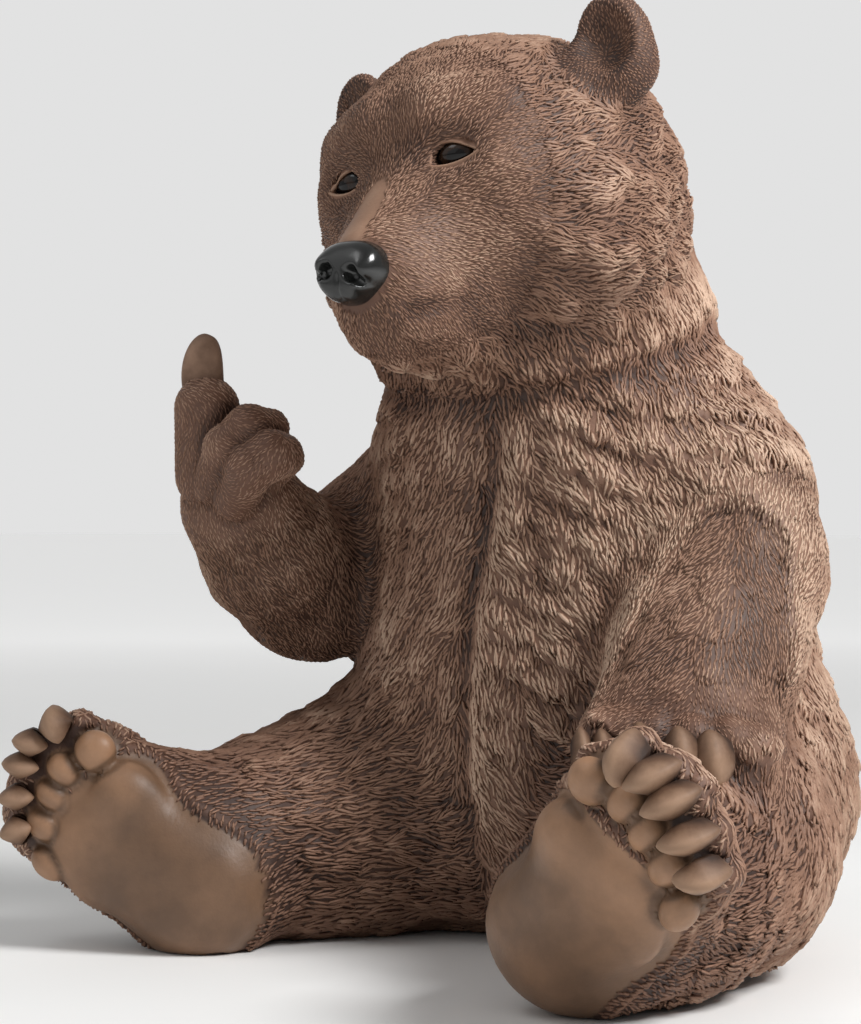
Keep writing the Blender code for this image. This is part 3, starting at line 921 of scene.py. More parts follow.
LIMB_BARS = (
    ((HIP_SPREAD, -0.020, 0.052), (0.100, -0.120, 0.040), 0.044, 0.070),
    ((-HIP_SPREAD, -0.020, 0.055), (-0.105, -0.105, 0.040), 0.044, 0.070),
    ((0.072, -0.004, 0.155), (0.090, -0.070, 0.095), 0.033, 0.046),
    ((-0.082, -0.010, 0.172), (-0.106, -0.052, 0.137), 0.031, 0.046),
    ((-0.105, -0.060, 0.140), (-0.100, -0.106, 0.195), 0.029, 0.042),
)
HAND_BAR = ((-0.102, -0.110, 0.190), (-0.074, -0.116, 0.193), 0.028, 0.038)
ARM_BARS = (*LIMB_BARS[2:], HAND_BAR)
NOSE_ROOT = (0.0, -0.130, -0.030)
SLEEVE = Limb((0.0953, -0.0451, 0.1553), (0.1048, -0.0906, 0.0946), 0.0185, 0.0370)
PARTING = ((0.020, 0.060, 0.100, 0.136, 0.185, 0.210), (-0.014, -0.007, -0.0023, -0.0008, 0.0126, 0.0200))


def parting_line(points: Array) -> Array:
    """The x of the chest's parting at each point's height."""
    return np.interp(points[:, 2], *PARTING)


def head_share(points: Array) -> Array:
    """1 on the head and 0 below the ruff."""
    return smooth_step(points[:, 2] - 0.35 * points[:, 1], 0.240, 0.285)


def arm_share(points: Array) -> Array:
    """1 on both arms, 0 on the trunk."""
    shares = [near_bar(points, *bar) for bar in ARM_BARS]
    return np.max(shares, axis=0)


def leg_share(points: Array) -> Array:
    """1 on both hind legs, 0 on the trunk."""
    return np.maximum(near_bar(points, *LIMB_BARS[0]), near_bar(points, *LIMB_BARS[1]))


def trunk_share(points: Array) -> Array:
    """1 on chest, flanks and back, 0 on head and limbs."""
    return (1.0 - head_share(points)) * (1.0 - arm_share(points)) * (1.0 - leg_share(points))


def throat_share(points: Array) -> Array:
    """1 in the tufts between the jaw and the ruff."""
    return near_bar(points, (-0.030, -0.086, 0.231), (0.034, -0.078, 0.231), 0.012, 0.028)


def face_share(points: Array) -> Array:
    """1 on the muzzle, round the eyes and on the forehead, 0 behind the cheeks and on the crown.

    Args:
        points: the places.

    Returns:
        A share for each place.
    """
    head = HEAD.local(points)
    off = (head - [0.0, -0.076, -0.016]) / [0.054, 0.062, 0.062]
    above_jaw = smooth_step(head[:, 2] - 0.33 * head[:, 1] + 0.053, -0.007, 0.004)
    return (1.0 - smooth_step(np.linalg.norm(off, axis=1), 0.80, 1.30)) * above_jaw


def hand_share(points: Array) -> Array:
    """1 on the raised hand and on the resting paw's fingers, 0 on the arms."""
    raised = near_bar(points, (-0.102, -0.110, 0.190), (-0.080, -0.115, 0.195), 0.030, 0.038)
    resting = near_bar(points, (0.076, -0.100, 0.088), (0.120, -0.070, 0.086), 0.017, 0.026)
    return np.maximum(raised, resting)


def ear_share(points: Array) -> Array:
    """1 on both ears, 0 on the head beside them.

    Args:
        points: the places.

    Returns:
        A share for each place.
    """
    head = HEAD.local(points)
    gaps = [np.linalg.norm(head - place, axis=1) for _, place in EARS]
    return 1.0 - smooth_step(np.minimum(*gaps), 0.021, 0.028)


def pad_share(points: Array) -> Array:
    """1 on soles and toe pads, 0 off them."""
    return 1.0 - smooth_step(PAD_ZONE.distance(points), -0.0002, 0.0006)


def fringe_share(points: Array) -> Array:
    """1 in the hem of short fur round every pad, 0 away from it."""
    return 1.0 - smooth_step(BARE_ZONE.distance(points), 0.0022, 0.0052)


def foot_share(points: Array) -> Array:
    """1 in the neat short fur of the feet round the soles, 0 up the legs."""
    return 1.0 - smooth_step(BARE_ZONE.distance(points), 0.008, 0.022)


def bridge_share(points: Array) -> Array:
    """1 on the smooth strip from the nose up between the eyes."""
    head = HEAD.local(points)
    return near_bar(head, (-0.001, -0.0720, -0.0115), (-0.0018, -0.104, -0.036), 0.0040, 0.0105)


def mouth_share(points: Array) -> Array:
    """1 along the line of the mouth, on both sides.

    Args:
        points: the places.

    Returns:
        A share for each place.
    """
    head = HEAD.local(points)
    head[:, 0] = np.abs(head[:, 0])
    return near_bar(head, *MOUTH, 0.0022, 0.0050)


def cup_share(points: Array) -> Array:
    """1 in the hollows of the ears.

    Args:
        points: the places.

    Returns:
        A share for each place.
    """
    head = HEAD.local(points)
    shares = []
    for side, (x, y, z) in EARS:
        cup = np.array((x - 0.001 * side.value, y - 0.0085, z + 0.003))
        gap = np.linalg.norm((head - cup) / [1.0, 0.8, 1.15], axis=1)
        shares.append(1.0 - smooth_step(gap, 0.0085, 0.0125))
    return np.maximum(*shares)


def eye_share(points: Array, grow: float) -> Array:
    """1 inside an oval round each eye's opening, larger than it by a length.

    Args:
        points: the places.
        grow: the length.

    Returns:
        A share for each place.
    """
    head = HEAD.local(points)
    shares = []
    for side, place in EYE_PLACES.items():
        turn = turn_matrix((0, -EYE_SLANT * side.value, EYE_TURN * side.value))
        slide = EYE_SLIDES[side]
        off = (head - place) @ turn - (EYE_SLIDE_SHARE * slide * side.value, 0.0, 0.0)
        off = off / (0.0080 + 0.5 * slide + grow, 0.0120, 0.0044 + grow)
        shares.append(1.0 - smooth_step(np.linalg.norm(off, axis=1), 0.93, 1.07))
    return np.maximum(*shares)


def cavity(mass: Mass, points: Array, normals: Array, reach: float = 0.006) -> Array:
    """How hemmed in each point is: 1 - d / reach, with d the distance found one reach off the skin."""
    return np.clip(1.0 - mass.distance(points + normals * reach) / reach, 0.0, 1.0)


def flow(points: Array, normals: Array) -> Array:
    """Unit direction of the fur: down and out from the chest, along each limb, back from the nose.

    Args:
        points: places on the skin.
        normals: its normals there.

    Returns:
        A direction for each place.
    """
    run = np.zeros_like(points)
    beside = points[:, 0] - parting_line(points)
    run[:, 0] = np.where(beside < 0, 0.90, 0.45) * np.tanh(beside / 0.02)
    run[:, 1] = 0.15
    run[:, 2] = -1.0
    for start, end, inner, outer in LIMB_BARS:
        share = near_bar(points, start, end, inner, outer)[:, None]
        along = unit(np.array([end]) - np.array([start]))
        run = run * (1 - share) + along * share
    top, wrist = np.array(SLEEVE.start), np.array(SLEEVE.end)
    crest = unit((wrist - top)[None])
    across = np.cross(normals, crest)
    offset = np.sum((points - top) * across, axis=1)
    sleeve = (1.0 - smooth_step(SLEEVE.distance(points), -0.004, 0.004))[:, None]
    run = run * (1 - sleeve) + unit(crest + 0.7 * np.tanh(offset / 0.007)[:, None] * across) * sleeve
    head = head_share(points)[:, None]
    nose = HEAD.world(np.array([NOSE_ROOT]))
    run = run * (1 - head) + unit(points - nose) * head
    for side, (x, y, z) in EARS:
        cup = HEAD.world(np.array([[x - 0.001 * side.value, y - 0.006, z - 0.002]]))
        away = points - cup
        near = (1.0 - smooth_step(np.linalg.norm(away, axis=1), 0.019, 0.026))[:, None]
        run = run * (1 - near) + unit(away) * near
    hem = fringe_share(points)[:, None]
    inward = lean(-slope(BARE_ZONE, points), normals)
    run = run * (1 - hem) + unit(inward + 0.45 * np.cross(normals, inward)) * hem
    return lean(run, normals)


def bare_share(points: Array) -> Array:
    """1 on pads, nose, muzzle bridge and eyelids, and 0 in the fur.

    Args:
        points: the places.

    Returns:
        A share for each place.
    """
    head = HEAD.local(points)
    nose = 1.0 - smooth_step(np.linalg.norm(head - [0, -0.108, -0.048], axis=1), 0.0125, 0.0150)
    toes = 1.0 - smooth_step(BARE_ZONE.distance(points), 0.0, 0.0008)
    return np.max([toes, nose, bridge_share(points), eye_share(points, 0.0012)], axis=0)


def coarseness(points: Array) -> Array:
    """How far the locks stand out: full on the trunk, less on the legs, least on face and arms.

    Args:
        points: the places.

    Returns:
        A share for each place.
    """
    crown = smooth_step(HEAD.local(points)[:, 2], -0.010, 0.035) * 0.6 * head_share(points)
    shares = [0.85 * face_share(points), 0.70 * arm_share(points), 0.95 * hand_share(points),
              0.90 * ear_share(points), 0.85 * foot_share(points), crown, 0.30 * leg_share(points),
              0.60 * throat_share(points)]
    return 1.0 - np.max(shares, axis=0)


@dataclass(frozen=True)
class Folds:
    """The tiers of the coat on chest and flanks, the crease under the ruff and the chest parting."""

    pitch: float = 0.0150
    rise: float = 0.0042

    def height(self, points: Array) -> Array:
        """Height of the skin over the plain mass.

        Each tier rises quickly over a seventh of its pitch and falls away evenly below. Its
        edge is bent by two long sines and frayed by short ones. The crease and the parting are
        bells taken away, and the left side of the parting stands proud.

        Args:
            points: the places.

        Returns:
            A height for each place.
        """
        x, y, z = points.T
        wave = 0.0040 * np.sin(52 * x + 34 * y) + 0.0024 * np.sin(118 * y - 67 * x + 1.3)
        fray = 0.0014 * np.sin(560 * x + 330 * y + 3 * np.sin(90 * z)) + 0.0008 * np.sin(900 * y - 760 * x)
        level = (z + wave + fray + 0.30 * np.abs(x)) / self.pitch
        part = level - np.floor(level)
        swell = smooth_step(part, 0.0, 0.14) * (1 - 0.80 * part)
        band = smooth_step(z, 0.060, 0.090) * (1 - smooth_step(z, 0.220, 0.240))
        left = smooth_step(x - parting_line(points), 0.002, 0.012)
        right = 0.55 * smooth_step(-x, 0.020, 0.050)
        flank = np.maximum(left, right) * (0.55 + 0.45 * ripple(points, 0.060, 8, 5).clip(-1, 1))
        collar = z - 0.36 * np.minimum(y, 0) + 0.1 * np.maximum(y, 0) - 0.241
        proud = 0.8 * smooth_step(collar, 0.002, 0.007) * np.exp(-np.abs(collar) / 0.016)
        ruff = np.exp(-(collar / 0.006) ** 2) - proud
        front = (y < -0.03) * smooth_step(z, 0.03, 0.06) * (1 - smooth_step(z, 0.19, 0.21))
        beside = x - parting_line(points)
        ledge = 0.7 * np.exp(-((beside - 0.0060) / 0.0055) ** 2)
        parting = (np.exp(-((beside + 0.0020) / 0.0038) ** 2) - ledge) * front
        hem = SLEEVE.distance(points)
        sleeve = smooth_step(hem, -0.001, 0.003) * np.exp(-np.maximum(hem, 0) / 0.020)
        sleeve = sleeve * smooth_step(z, 0.095, 0.115)
        body = 1 - arm_share(points)
        rolls = 1.25 * (swell - 0.35) * band * flank * body
        lip = 0.25 * np.exp(-((BARE_ZONE.distance(points) - 0.0024) / 0.0013) ** 2)
        nape = 1 - 0.55 * smooth_step(y, -0.01, 0.04)
        creases = 0.6 * ruff * body * nape + 0.6 * parting
        return self.rise * (rolls - creases + 0.85 * sleeve + 0.8 * lip)


@dataclass(frozen=True)
class Locks:
    """Overlapping locks of fur: each rises from its root to its tip, then drops onto the next."""

    length: float = 0.0245
    half_width: float = 0.0088
    rise: float = 0.0042
    spacing: float = 0.0116
    batch: int = 20000

    def roots(self, points: Array) -> Array:
        """Picks well spread roots: of all points in a cell the one nearest its middle, then thinned.

        Args:
            points: the places.

        Returns:
            The numbers of the picked places.
        """
        picked = one_per_cell(points, self.spacing * 0.85, 5)
        gap = np.linalg.norm(points[picked][:, None] - points[picked][None], axis=2)
        near = (gap < self.spacing * 0.8) & (gap > 0)
        rank = np.random.default_rng(11).permutation(len(picked))
        beaten = (near & (rank[None, :] < rank[:, None])).any(axis=1)
        return picked[~beaten]

    def lay(self, points: Array, normals: Array) -> tuple[Array, Array, Array, Array]:
        """Lays the locks over the skin.

        A lock's height is u (1 - fall) (1 - v^2 / w^2), with u from root to tip, v across, w
        narrowing as the root of 1 - u^3, and a fall over the last of the length. The tallest
        lock wins.

        Args:
            points: the skin.
            normals: its normals.

        Returns:
            The height at each point, the number of the lock there or -1, and the place and
            direction of each lock.
        """
        picked = self.roots(points)
        centre = points[picked]
        along = flow(centre, normals[picked])
        turn = (0.25 + 0.5 * coarseness(centre)[:, None]) * ripple(centre, 0.026, 21)[:, None]
        side = np.cross(normals[picked], along)
        along = unit(along + turn * side)
        side = np.cross(normals[picked], along)
        height = np.zeros(len(points))
        owner = np.full(len(points), -1)
        spread = np.sum(centre ** 2, axis=1)
        for start in range(0, len(points), self.batch):
            part = points[start:start + self.batch]
            gap = np.sum(part ** 2, axis=1)[:, None] + spread - 2 * part @ centre.T
            vertex, lock = np.nonzero(gap < (self.length * 0.6) ** 2)
            away = part[vertex] - centre[lock]
            u = np.sum(away * along[lock], axis=1) / self.length + 0.5
            v = np.sum(away * side[lock], axis=1) / self.half_width
            wide = np.sqrt(np.maximum(1 - np.clip(u, 0, 1) ** 3, 1e-3))
            rise = u * (1 - smooth_step(u, 0.83, 1.0)) * np.maximum(1 - (v / wide) ** 2, 0)
            rise = np.where((u > 0) & (u < 1), rise, 0)
            order = np.argsort(rise, kind="stable")
            height[start + vertex[order]] = rise[order]
            owner[start + vertex[order]] = lock[order]
        owner[height <= 0] = -1
        return self.rise * height, owner, centre, along


def one_per_cell(points: Array, size: float, seed: int) -> Array:
    """Picks from each cell of a lattice, turned askew, the point nearest to the cell's middle.

    Args:
        points: the places.
        size: the lattice's pitch.
        seed: turns the lattice.

    Returns:
        The numbers of the picked places.
    """
    turned = points @ turn_matrix((31.0 + seed, 17.0, 45.0)) / size
    cell = np.floor(turned).astype(np.int64)
    miss = np.linalg.norm(turned - cell - 0.5, axis=1)
    cell -= cell.min(axis=0)
    span = cell.max(axis=0) + 1
    key = (cell[:, 0] * span[1] + cell[:, 1]) * span[2] + cell[:, 2]
    order = np.lexsort((miss, key))
    _, first = np.unique(key[order], return_index=True)
    return order[first]


# The skin

@dataclass(frozen=True)
class Spot:
    """A place where the skin is made finer: a ball, and the longest triangle side wanted in it."""

    centre: Triple
    radius: float
    side: float

    def holds(self, points: Array) -> Array:
        """Which points lie in the ball."""
        return np.sum((points - np.array(self.centre)) ** 2, axis=1) < self.radius ** 2


@dataclass
class Skin:
    """The casting itself, from the ears to the seat: fur ground, soles and toe pads in one surface."""

    step: float = 0.0035
    low: Triple = (-0.200, -0.210, -0.012)
    high: Triple = (0.185, 0.130, 0.385)
    locks: Locks = field(default_factory=Locks)
    folds: Folds = field(default_factory=Folds)

    def __post_init__(self) -> None:
        """Melts the pads into the furred mass and builds the surface."""
        form = furred_mass()
        form.add(PADS, 0.0012)
        self.mass = Grounded(form)
        self.surface = self.build()

    def spots(self) -> list[Spot]:
        """The places that want finer triangles.

        Returns:
            The spots.
        """
        muzzle = [((0.0, -0.075, -0.030), 0.060, 0.0030)]
        eyes = [(place, 0.0155, 0.0011) for place in EYE_PLACES.values()]
        ears = [(place, 0.028, 0.0024) for _, place in EARS]
        lips = [((0.020 * side, -0.088, -0.062), 0.016, 0.0018) for side in (-1, 1)]
        soles = [((0.002, 0.036, 0.0), 0.056, 0.0024)]
        raised_hand = Spot((-0.092, -0.112, 0.198), 0.036, 0.0021)
        resting_paw = Spot((0.096, -0.092, 0.088), 0.032, 0.0024)
        carried = [(HEAD, muzzle + eyes + ears + lips)] + [(foot.frame(), soles) for foot in FEET]
        spots = [Spot(tuple(carrier.world(np.array([place]))[0]), radius, side)
                 for carrier, places in carried for place, radius, side in places]
        return spots + [raised_hand, resting_paw]

    def build(self) -> Surface:
        """Samples, meshes, refines and settles the form, then raises locks and folds on it.

        Returns:
            The carved and painted surface.
        """
        surface = net(sample_distance(self.mass, self.low, self.high, self.step), self.low, self.step)
        surface.points = settle(self.mass, surface.points, 3)
        for _ in range(3):
            corners = surface.points[surface.triangles]
            middle = corners.mean(axis=1)
            sides = np.linalg.norm(corners[:, 0] - corners[:, 1], axis=1)
            sides = np.maximum(sides, np.sqrt(surface.areas() * 2.3))
            wanted = np.zeros(len(middle), bool)
            for spot in self.spots():
                wanted |= spot.holds(middle) & (sides > spot.side)
            surface = refined(surface, wanted)
        surface.points = settle(self.mass, surface.points, 3)
        ground = surface.points
        normals = unit(slope(self.mass, ground))
        rise, owner, centre, along = self.locks.lay(ground, normals)
        fur = 1.0 - bare_share(ground)
        self.fold = self.folds.height(ground)
        lift = coarseness(ground) * (1 - 0.35 * trunk_share(ground))
        standing = lift * (rise - 0.4 * self.locks.rise) + self.fold
        points = ground + normals * (fur * standing)[:, None]
        points[:, 2] = np.maximum(points[:, 2], 0.0)
        self.ground = ground
        self.owner = owner
        self.tips = centre + along * self.locks.length * 0.5
        paint = self.paint(ground, normals, fur, fur * standing)
        return Surface(points, surface.triangles, {"paint": paint})

    def paint(self, ground: Array, normals: Array, fur: Array, standing: Array) -> Array:
        """Works out the layer paint: ridge, depth, tone and pad share.

        Depth starts from how far the coat stands off the plain form. That is partly the real dark paint and
        dry-brush, and partly painted shade under the tiers and locks. It loses painted shade in creases,
        where the real dark paint also lies, in the ears' hollows, along the mouth, in the toe bed, on the
        legs, under the jaw and inside the eye sockets. It gains a painted highlight on both sides of the
        muzzle. It is set darker where the fur is fine and on the head behind the face, and lighter on the
        hands and the trunk.

        Args:
            ground: the skin before it is carved.
            normals: its normals.
            fur: 1 where it carries fur.
            standing: the height of the carving.

        Returns:
            Four values for each vertex.
        """
        hand = hand_share(ground)
        # Painted shade falls in creases and hollows, where the real dark paint also lies, and in the ears'
        # hollows, along the mouth line, in the toe bed between the pads, on the legs and on the throat under
        # the jaw. The other terms only set the tone by region.
        shade = 0.95 * cavity(self.mass, ground, normals) * (1 - 0.35 * hand) + 0.50 * cup_share(ground)
        shade += 0.22 * mouth_share(ground) + 0.16 * (1 - coarseness(ground)) - 0.18 * hand
        shade += 0.40 * (bare_share(ground) - pad_share(ground)) * foot_share(ground)
        shade += 0.24 * leg_share(ground) + 0.08 * head_share(ground) * (1 - face_share(ground))
        shade += 0.34 * throat_share(ground) - 0.13 * trunk_share(ground)
        # Painted shade inside each eye opening.
        socket = eye_share(ground, -0.0006)
        head = HEAD.local(ground)
        head[:, 0] = np.abs(head[:, 0])
        # Painted highlight on both sides of the muzzle.
        wear_and_highlight = 0.28 * near_bar(head, (0.016, -0.098, -0.044), (0.026, -0.070, -0.040), 0.006, 0.022)
        # Lighter where the carving stands proud: partly the real dry-brush, partly painted shade under the
        # tiers.
        depth = np.clip(0.5 + wear_and_highlight + (standing + 0.45 * self.fold * fur) / 0.0055 - shade - socket, 0, 1)
        bridge = bridge_share(ground)
        ridge = (0.02 + 0.12 * face_share(ground) + 0.12 * hand + 0.55 * bridge) * (1 - socket)
        ridge = np.maximum(ridge, 0.22 * eye_share(ground, 0.0022) * (1 - socket))
        tone = 0.4 + 0.35 * bridge
        pad = np.maximum(pad_share(ground), 0.30 * bridge)
        return np.stack([ridge, depth, tone, pad], axis=1)


class Region(Enum):
    """The parts of the coat that are pieces of their own."""

    FACE = "fur_face"
    NECK = "fur_neck"
    CHEST = "fur_chest"
    BACK = "fur_back"
    LEFT_LEG = "fur_left_leg"
    RIGHT_LEG = "fur_right_leg"
    ARMS = "fur_arms"


@dataclass(frozen=True)
class Coat:
    """One kind of fur: how closely its strands stand, their sizes, sway and lowest ridge value."""

    spacing: float
    length: float
    width: float
    rise: float
    sway: float
    low: float = 0.0
    leaf: bool = False


COARSE_COAT = Coat(0.0026, 0.0090, 0.00155, 0.00105, 0.36)
NECK_COAT = Coat(0.0021, 0.0080, 0.00130, 0.00090, 0.42)
ARM_COAT = Coat(0.0019, 0.0060, 0.00105, 0.00050, 0.22, 0.12, True)
FACE_COAT = Coat(0.00155, 0.0042, 0.00090, 0.00050, 0.22, 0.06, True)


@dataclass
class Strands:
    """Strands of one coat. Each row of points is one strand, and all share a template of triangles."""

    points: Array
    paint: Array
    template: Array
    middle: Array

    def pick(self, rows: Array) -> Surface:
        """Gives some of the strands as one surface.

        Args:
            rows: the numbers of the strands.

        Returns:
            Their surface.
        """
        corners = self.points.shape[1]
        faces = self.template[None] + corners * np.arange(len(rows))[:, None, None]
        paint = self.paint[rows].reshape(-1, 4)
        return Surface(self.points[rows].reshape(-1, 3), faces.reshape(-1, 3), {"paint": paint})


@dataclass(frozen=True)
class Station:
    """A cut across a strand: its place along it, its share of width and height, its sink and its paint."""

    t: float
    wide: float
    high: float
    sink: float
    crest: float


LEAF_STATIONS = (Station(-0.5, 0.0, 0.0, 0.30, 0.15), Station(0.12, 1.0, 1.0, 0.30, 1.0),
                 Station(0.5, 0.0, 0.30, 0.05, 0.85))
SPINDLE_STATIONS = (Station(-0.5, 0.0, 0.0, 0.35, 0.15), Station(-0.20, 0.85, 0.85, 0.30, 0.75),
                    Station(0.22, 1.0, 1.0, 0.30, 1.0), Station(0.5, 0.0, 0.35, 0.05, 0.85))
LEAF = np.array(((0, 2, 1), (0, 3, 2), (0, 1, 3), (1, 2, 4), (2, 3, 4), (3, 1, 4)))
SPINDLE = np.array(((0, 2, 1), (0, 3, 2), (0, 1, 3), (1, 2, 5), (1, 5, 4), (2, 3, 6), (2, 6, 5), (3, 1, 4),
                    (3, 4, 6), (4, 5, 7), (5, 6, 7), (6, 4, 7)))


@dataclass
class Fur:
    """Strands over the skin, each a closed ridge that lies along the coat."""

    skin: Skin

    def regions(self, points: Array) -> Array:
        """Gives the region of each point, as its place in the list of regions.

        Args:
            points: the places.

        Returns:
            A number for each place.
        """
        order = list(Region)
        back = points[:, 1] > 0.012
        region = np.where(back, order.index(Region.BACK), order.index(Region.CHEST))
        legs = leg_share(points) > 0.5
        region[legs & (points[:, 0] > 0)] = order.index(Region.LEFT_LEG)
        region[legs & (points[:, 0] <= 0)] = order.index(Region.RIGHT_LEG)
        region[arm_share(points) > 0.5] = order.index(Region.ARMS)
        head = head_share(points) > 0.5
        region[head] = order.index(Region.NECK)
        region[head & (np.maximum(face_share(points), ear_share(points)) > 0.5)] = order.index(Region.FACE)
        return region

    def scatter(self, coat: Coat, wanted: Array, seed: int) -> tuple[Array, Array, Array]:
        """Spreads strand middles over the wanted triangles.

        Args:
            coat: the fur that is to grow.
            wanted: the share of each triangle that may carry it.
            seed: of the random numbers.

        Returns:
            For each strand its triangle, its weights there, and its nearest corner.
        """
        dice = np.random.default_rng(seed)
        surface = self.skin.surface
        weight = surface.areas() * wanted
        total = np.cumsum(weight)
        count = int(total[-1] / coat.spacing ** 2 * 7)
        rows = np.searchsorted(total, dice.random(count) * total[-1])
        r1, r2 = np.sqrt(dice.random(count)), dice.random(count)
        shares = np.stack([1 - r1, r1 * (1 - r2), r1 * r2], axis=1)
        spots = np.einsum("ij,ijk->ik", shares, surface.points[surface.triangles[rows]])
        picked = one_per_cell(spots, coat.spacing, seed)
        rows, shares = rows[picked], shares[picked]
        corner = surface.triangles[rows, np.argmax(shares, axis=1)]
        return rows, shares, corner

    def grow(self, coat: Coat, wanted: Array, seed: int) -> Strands:
        """Grows the strands of one coat.

        A spindle has a root, two rings of three points and a tip, a leaf has one ring. The
        ends are lowered by as much as the plain form falls away under them, and then sunk a
        little. Strands in the hem round a pad are shorter and stand higher.

        Args:
            coat: the fur that is to grow.
            wanted: the share of each triangle that may carry it.
            seed: of the random numbers.

        Returns:
            The strands.
        """
        surface = self.skin.surface
        rows, shares, corner = self.scatter(coat, wanted, seed)
        triangles = surface.triangles[rows]
        middle = np.einsum("ij,ijk->ik", shares, surface.points[triangles])
        normal = unit(np.einsum("ij,ijk->ik", shares, surface.normals()[triangles]))
        plain = np.einsum("ij,ijk->ik", shares, self.skin.ground[triangles])
        paint = np.einsum("ij,ijk->ik", shares, surface.layers["paint"][triangles])
        dice = np.random.default_rng(seed + 1)
        count = len(middle)
        hem = fringe_share(plain)
        foot = foot_share(plain)

        way = flow(plain, normal)
        owner = self.skin.owner[corner]
        pull = unit(self.skin.tips[owner] - middle) * ((owner >= 0) * (1 - hem))[:, None]
        side = np.cross(normal, way)
        swing = 0.8 * ripple(middle, 0.012, seed + 2) + 0.5 * dice.normal(size=count)
        swing = swing * coat.sway * (1 - 0.65 * foot)
        way = lean(way + 0.45 * pull + swing[:, None] * side, normal)
        side = np.cross(normal, way)

        ear, trunk, hand = ear_share(plain), trunk_share(plain), hand_share(plain)
        short = 1 - np.max([0.62 * hem, 0.40 * foot, 0.40 * hand, 0.45 * ear, 0.26 * trunk], axis=0)
        narrow = 1 - 0.22 * foot - 0.25 * hand
        flat = 1 - 0.25 * foot + 0.25 * hem - 0.3 * ear - 0.2 * trunk - 0.4 * hand
        length = coat.length * dice.uniform(0.75, 1.2, count) * short
        width = coat.width * dice.uniform(0.8, 1.25, count) * narrow
        rise = coat.rise * dice.uniform(0.8, 1.25, count) * flat
        here = self.skin.mass.distance(plain)
        root_drop = self.skin.mass.distance(plain - way * length[:, None] * 0.5) - here
        tip_drop = self.skin.mass.distance(plain + way * length[:, None] * 0.5) - here
        bend = 0.10 * length * dice.uniform(-1, 1, count)
        fold = np.einsum("ij,ij->i", shares, self.skin.fold[triangles])

        places = []
        ridges = []
        depths = []
        for station in LEAF_STATIONS if coat.leaf else SPINDLE_STATIONS:
            t = station.t
            step = way * (t * length)[:, None]
            drop = np.where(t < 0, root_drop, tip_drop) * (2 * t) ** 2
            base = middle + step + side * (bend * (1 - (2 * t) ** 2))[:, None]
            more = np.zeros(count)
            if not coat.leaf:
                more = np.clip(self.skin.folds.height(plain + step) - fold, -0.0022, 0.0022)
            sunk = np.clip(drop, -0.001, 0.0045) + station.sink * rise - 0.8 * more
            base = base - normal * sunk[:, None]
            top = base + normal * ((station.high + station.sink) * rise)[:, None]
            # Each station takes the tier's height into its depth: painted shade under the tiers' edges, with
            # the real dark paint of the grooves.
            depth = np.clip(paint[:, 1] + more / 0.0045, 0, 1)
            crest = np.full(count, station.crest)
            if station.wide == 0.0:
                places.append(top)
                ridges.append(crest)
                depths.append(depth)
                continue
            out = side * (station.wide * width * 0.5)[:, None]
            places += [base - out, top, base + out]
            ridges += [np.zeros(count), crest, np.zeros(count)]
            depths += [depth, depth, depth]
        points = np.stack(places, axis=1)
        points[..., 2] = np.maximum(points[..., 2], 0.0)
        tone = np.clip(0.5 + 0.22 * dice.normal(size=count), 0, 1)
        ridge = coat.low + (1 - coat.low) * np.stack(ridges, axis=1)
        even = np.ones(points.shape[1])
        colour = np.stack([ridge, np.stack(depths, axis=1), np.outer(tone, even), 0 * ridge], axis=-1)
        return Strands(points, colour, LEAF if coat.leaf else SPINDLE, middle)

    def build(self, material: bpy.types.Material) -> list[bpy.types.Object]:
        """Grows every coat and makes a piece of each region.

        Args:
            material: the finish of all the pieces.

        Returns:
            The pieces.
        """
        surface = self.skin.surface
        middles = surface.points[surface.triangles].mean(axis=1)
        plain = self.skin.ground[surface.triangles].mean(axis=1)
        open_share = (bare_share(plain) < 0.5) & (middles[:, 2] > 0.0012)
        head = head_share(plain) > 0.5
        face = head & (np.maximum(face_share(plain), ear_share(plain)) > 0.5)
        arms = (arm_share(plain) > 0.5) & ~head
        kinds = ((COARSE_COAT, ~head & ~arms), (NECK_COAT, head & ~face), (ARM_COAT, arms),
                 (FACE_COAT, face))
        groups = {region: [] for region in Region}
        for seed, (coat, share) in enumerate(kinds):
            strands = self.grow(coat, open_share & share, 10 * seed + 3)
            region = self.regions(strands.middle)
            for number, kind in enumerate(Region):
                rows = np.flatnonzero(region == number)
                if len(rows):
                    groups[kind].append(strands.pick(rows))
        return [joined(group).piece(kind.value, material) for kind, group in groups.items() if group]


# Nose, eyes, lids and claws

@dataclass(frozen=True)
class Dab:
    """A round dent or lump on the nose's front: its place across and up, its radius and its depth."""

    across: float
    up: float
    radius: float
    depth: float

    def shape(self, px: Array, pz: Array, power: int) -> Array:
        """Gives depth exp(-(r / radius)^power), with r the distance from its middle."""
        return self.depth * np.exp(-(np.hypot(px - self.across, pz - self.up) / self.radius) ** power)


NOSTRIL_DENTS = (Dab(0.0056, -0.0004, 0.0027, 0.0046), Dab(0.0080, -0.0022, 0.0019, 0.0034),
                 Dab(0.0100, -0.0022, 0.0014, 0.0024), Dab(0.0116, -0.0012, 0.0011, 0.0016))
NOSTRIL_LUMPS = (Dab(0.0092, 0.0022, 0.0026, 0.0011), Dab(0.0070, -0.0056, 0.0024, 0.0008))


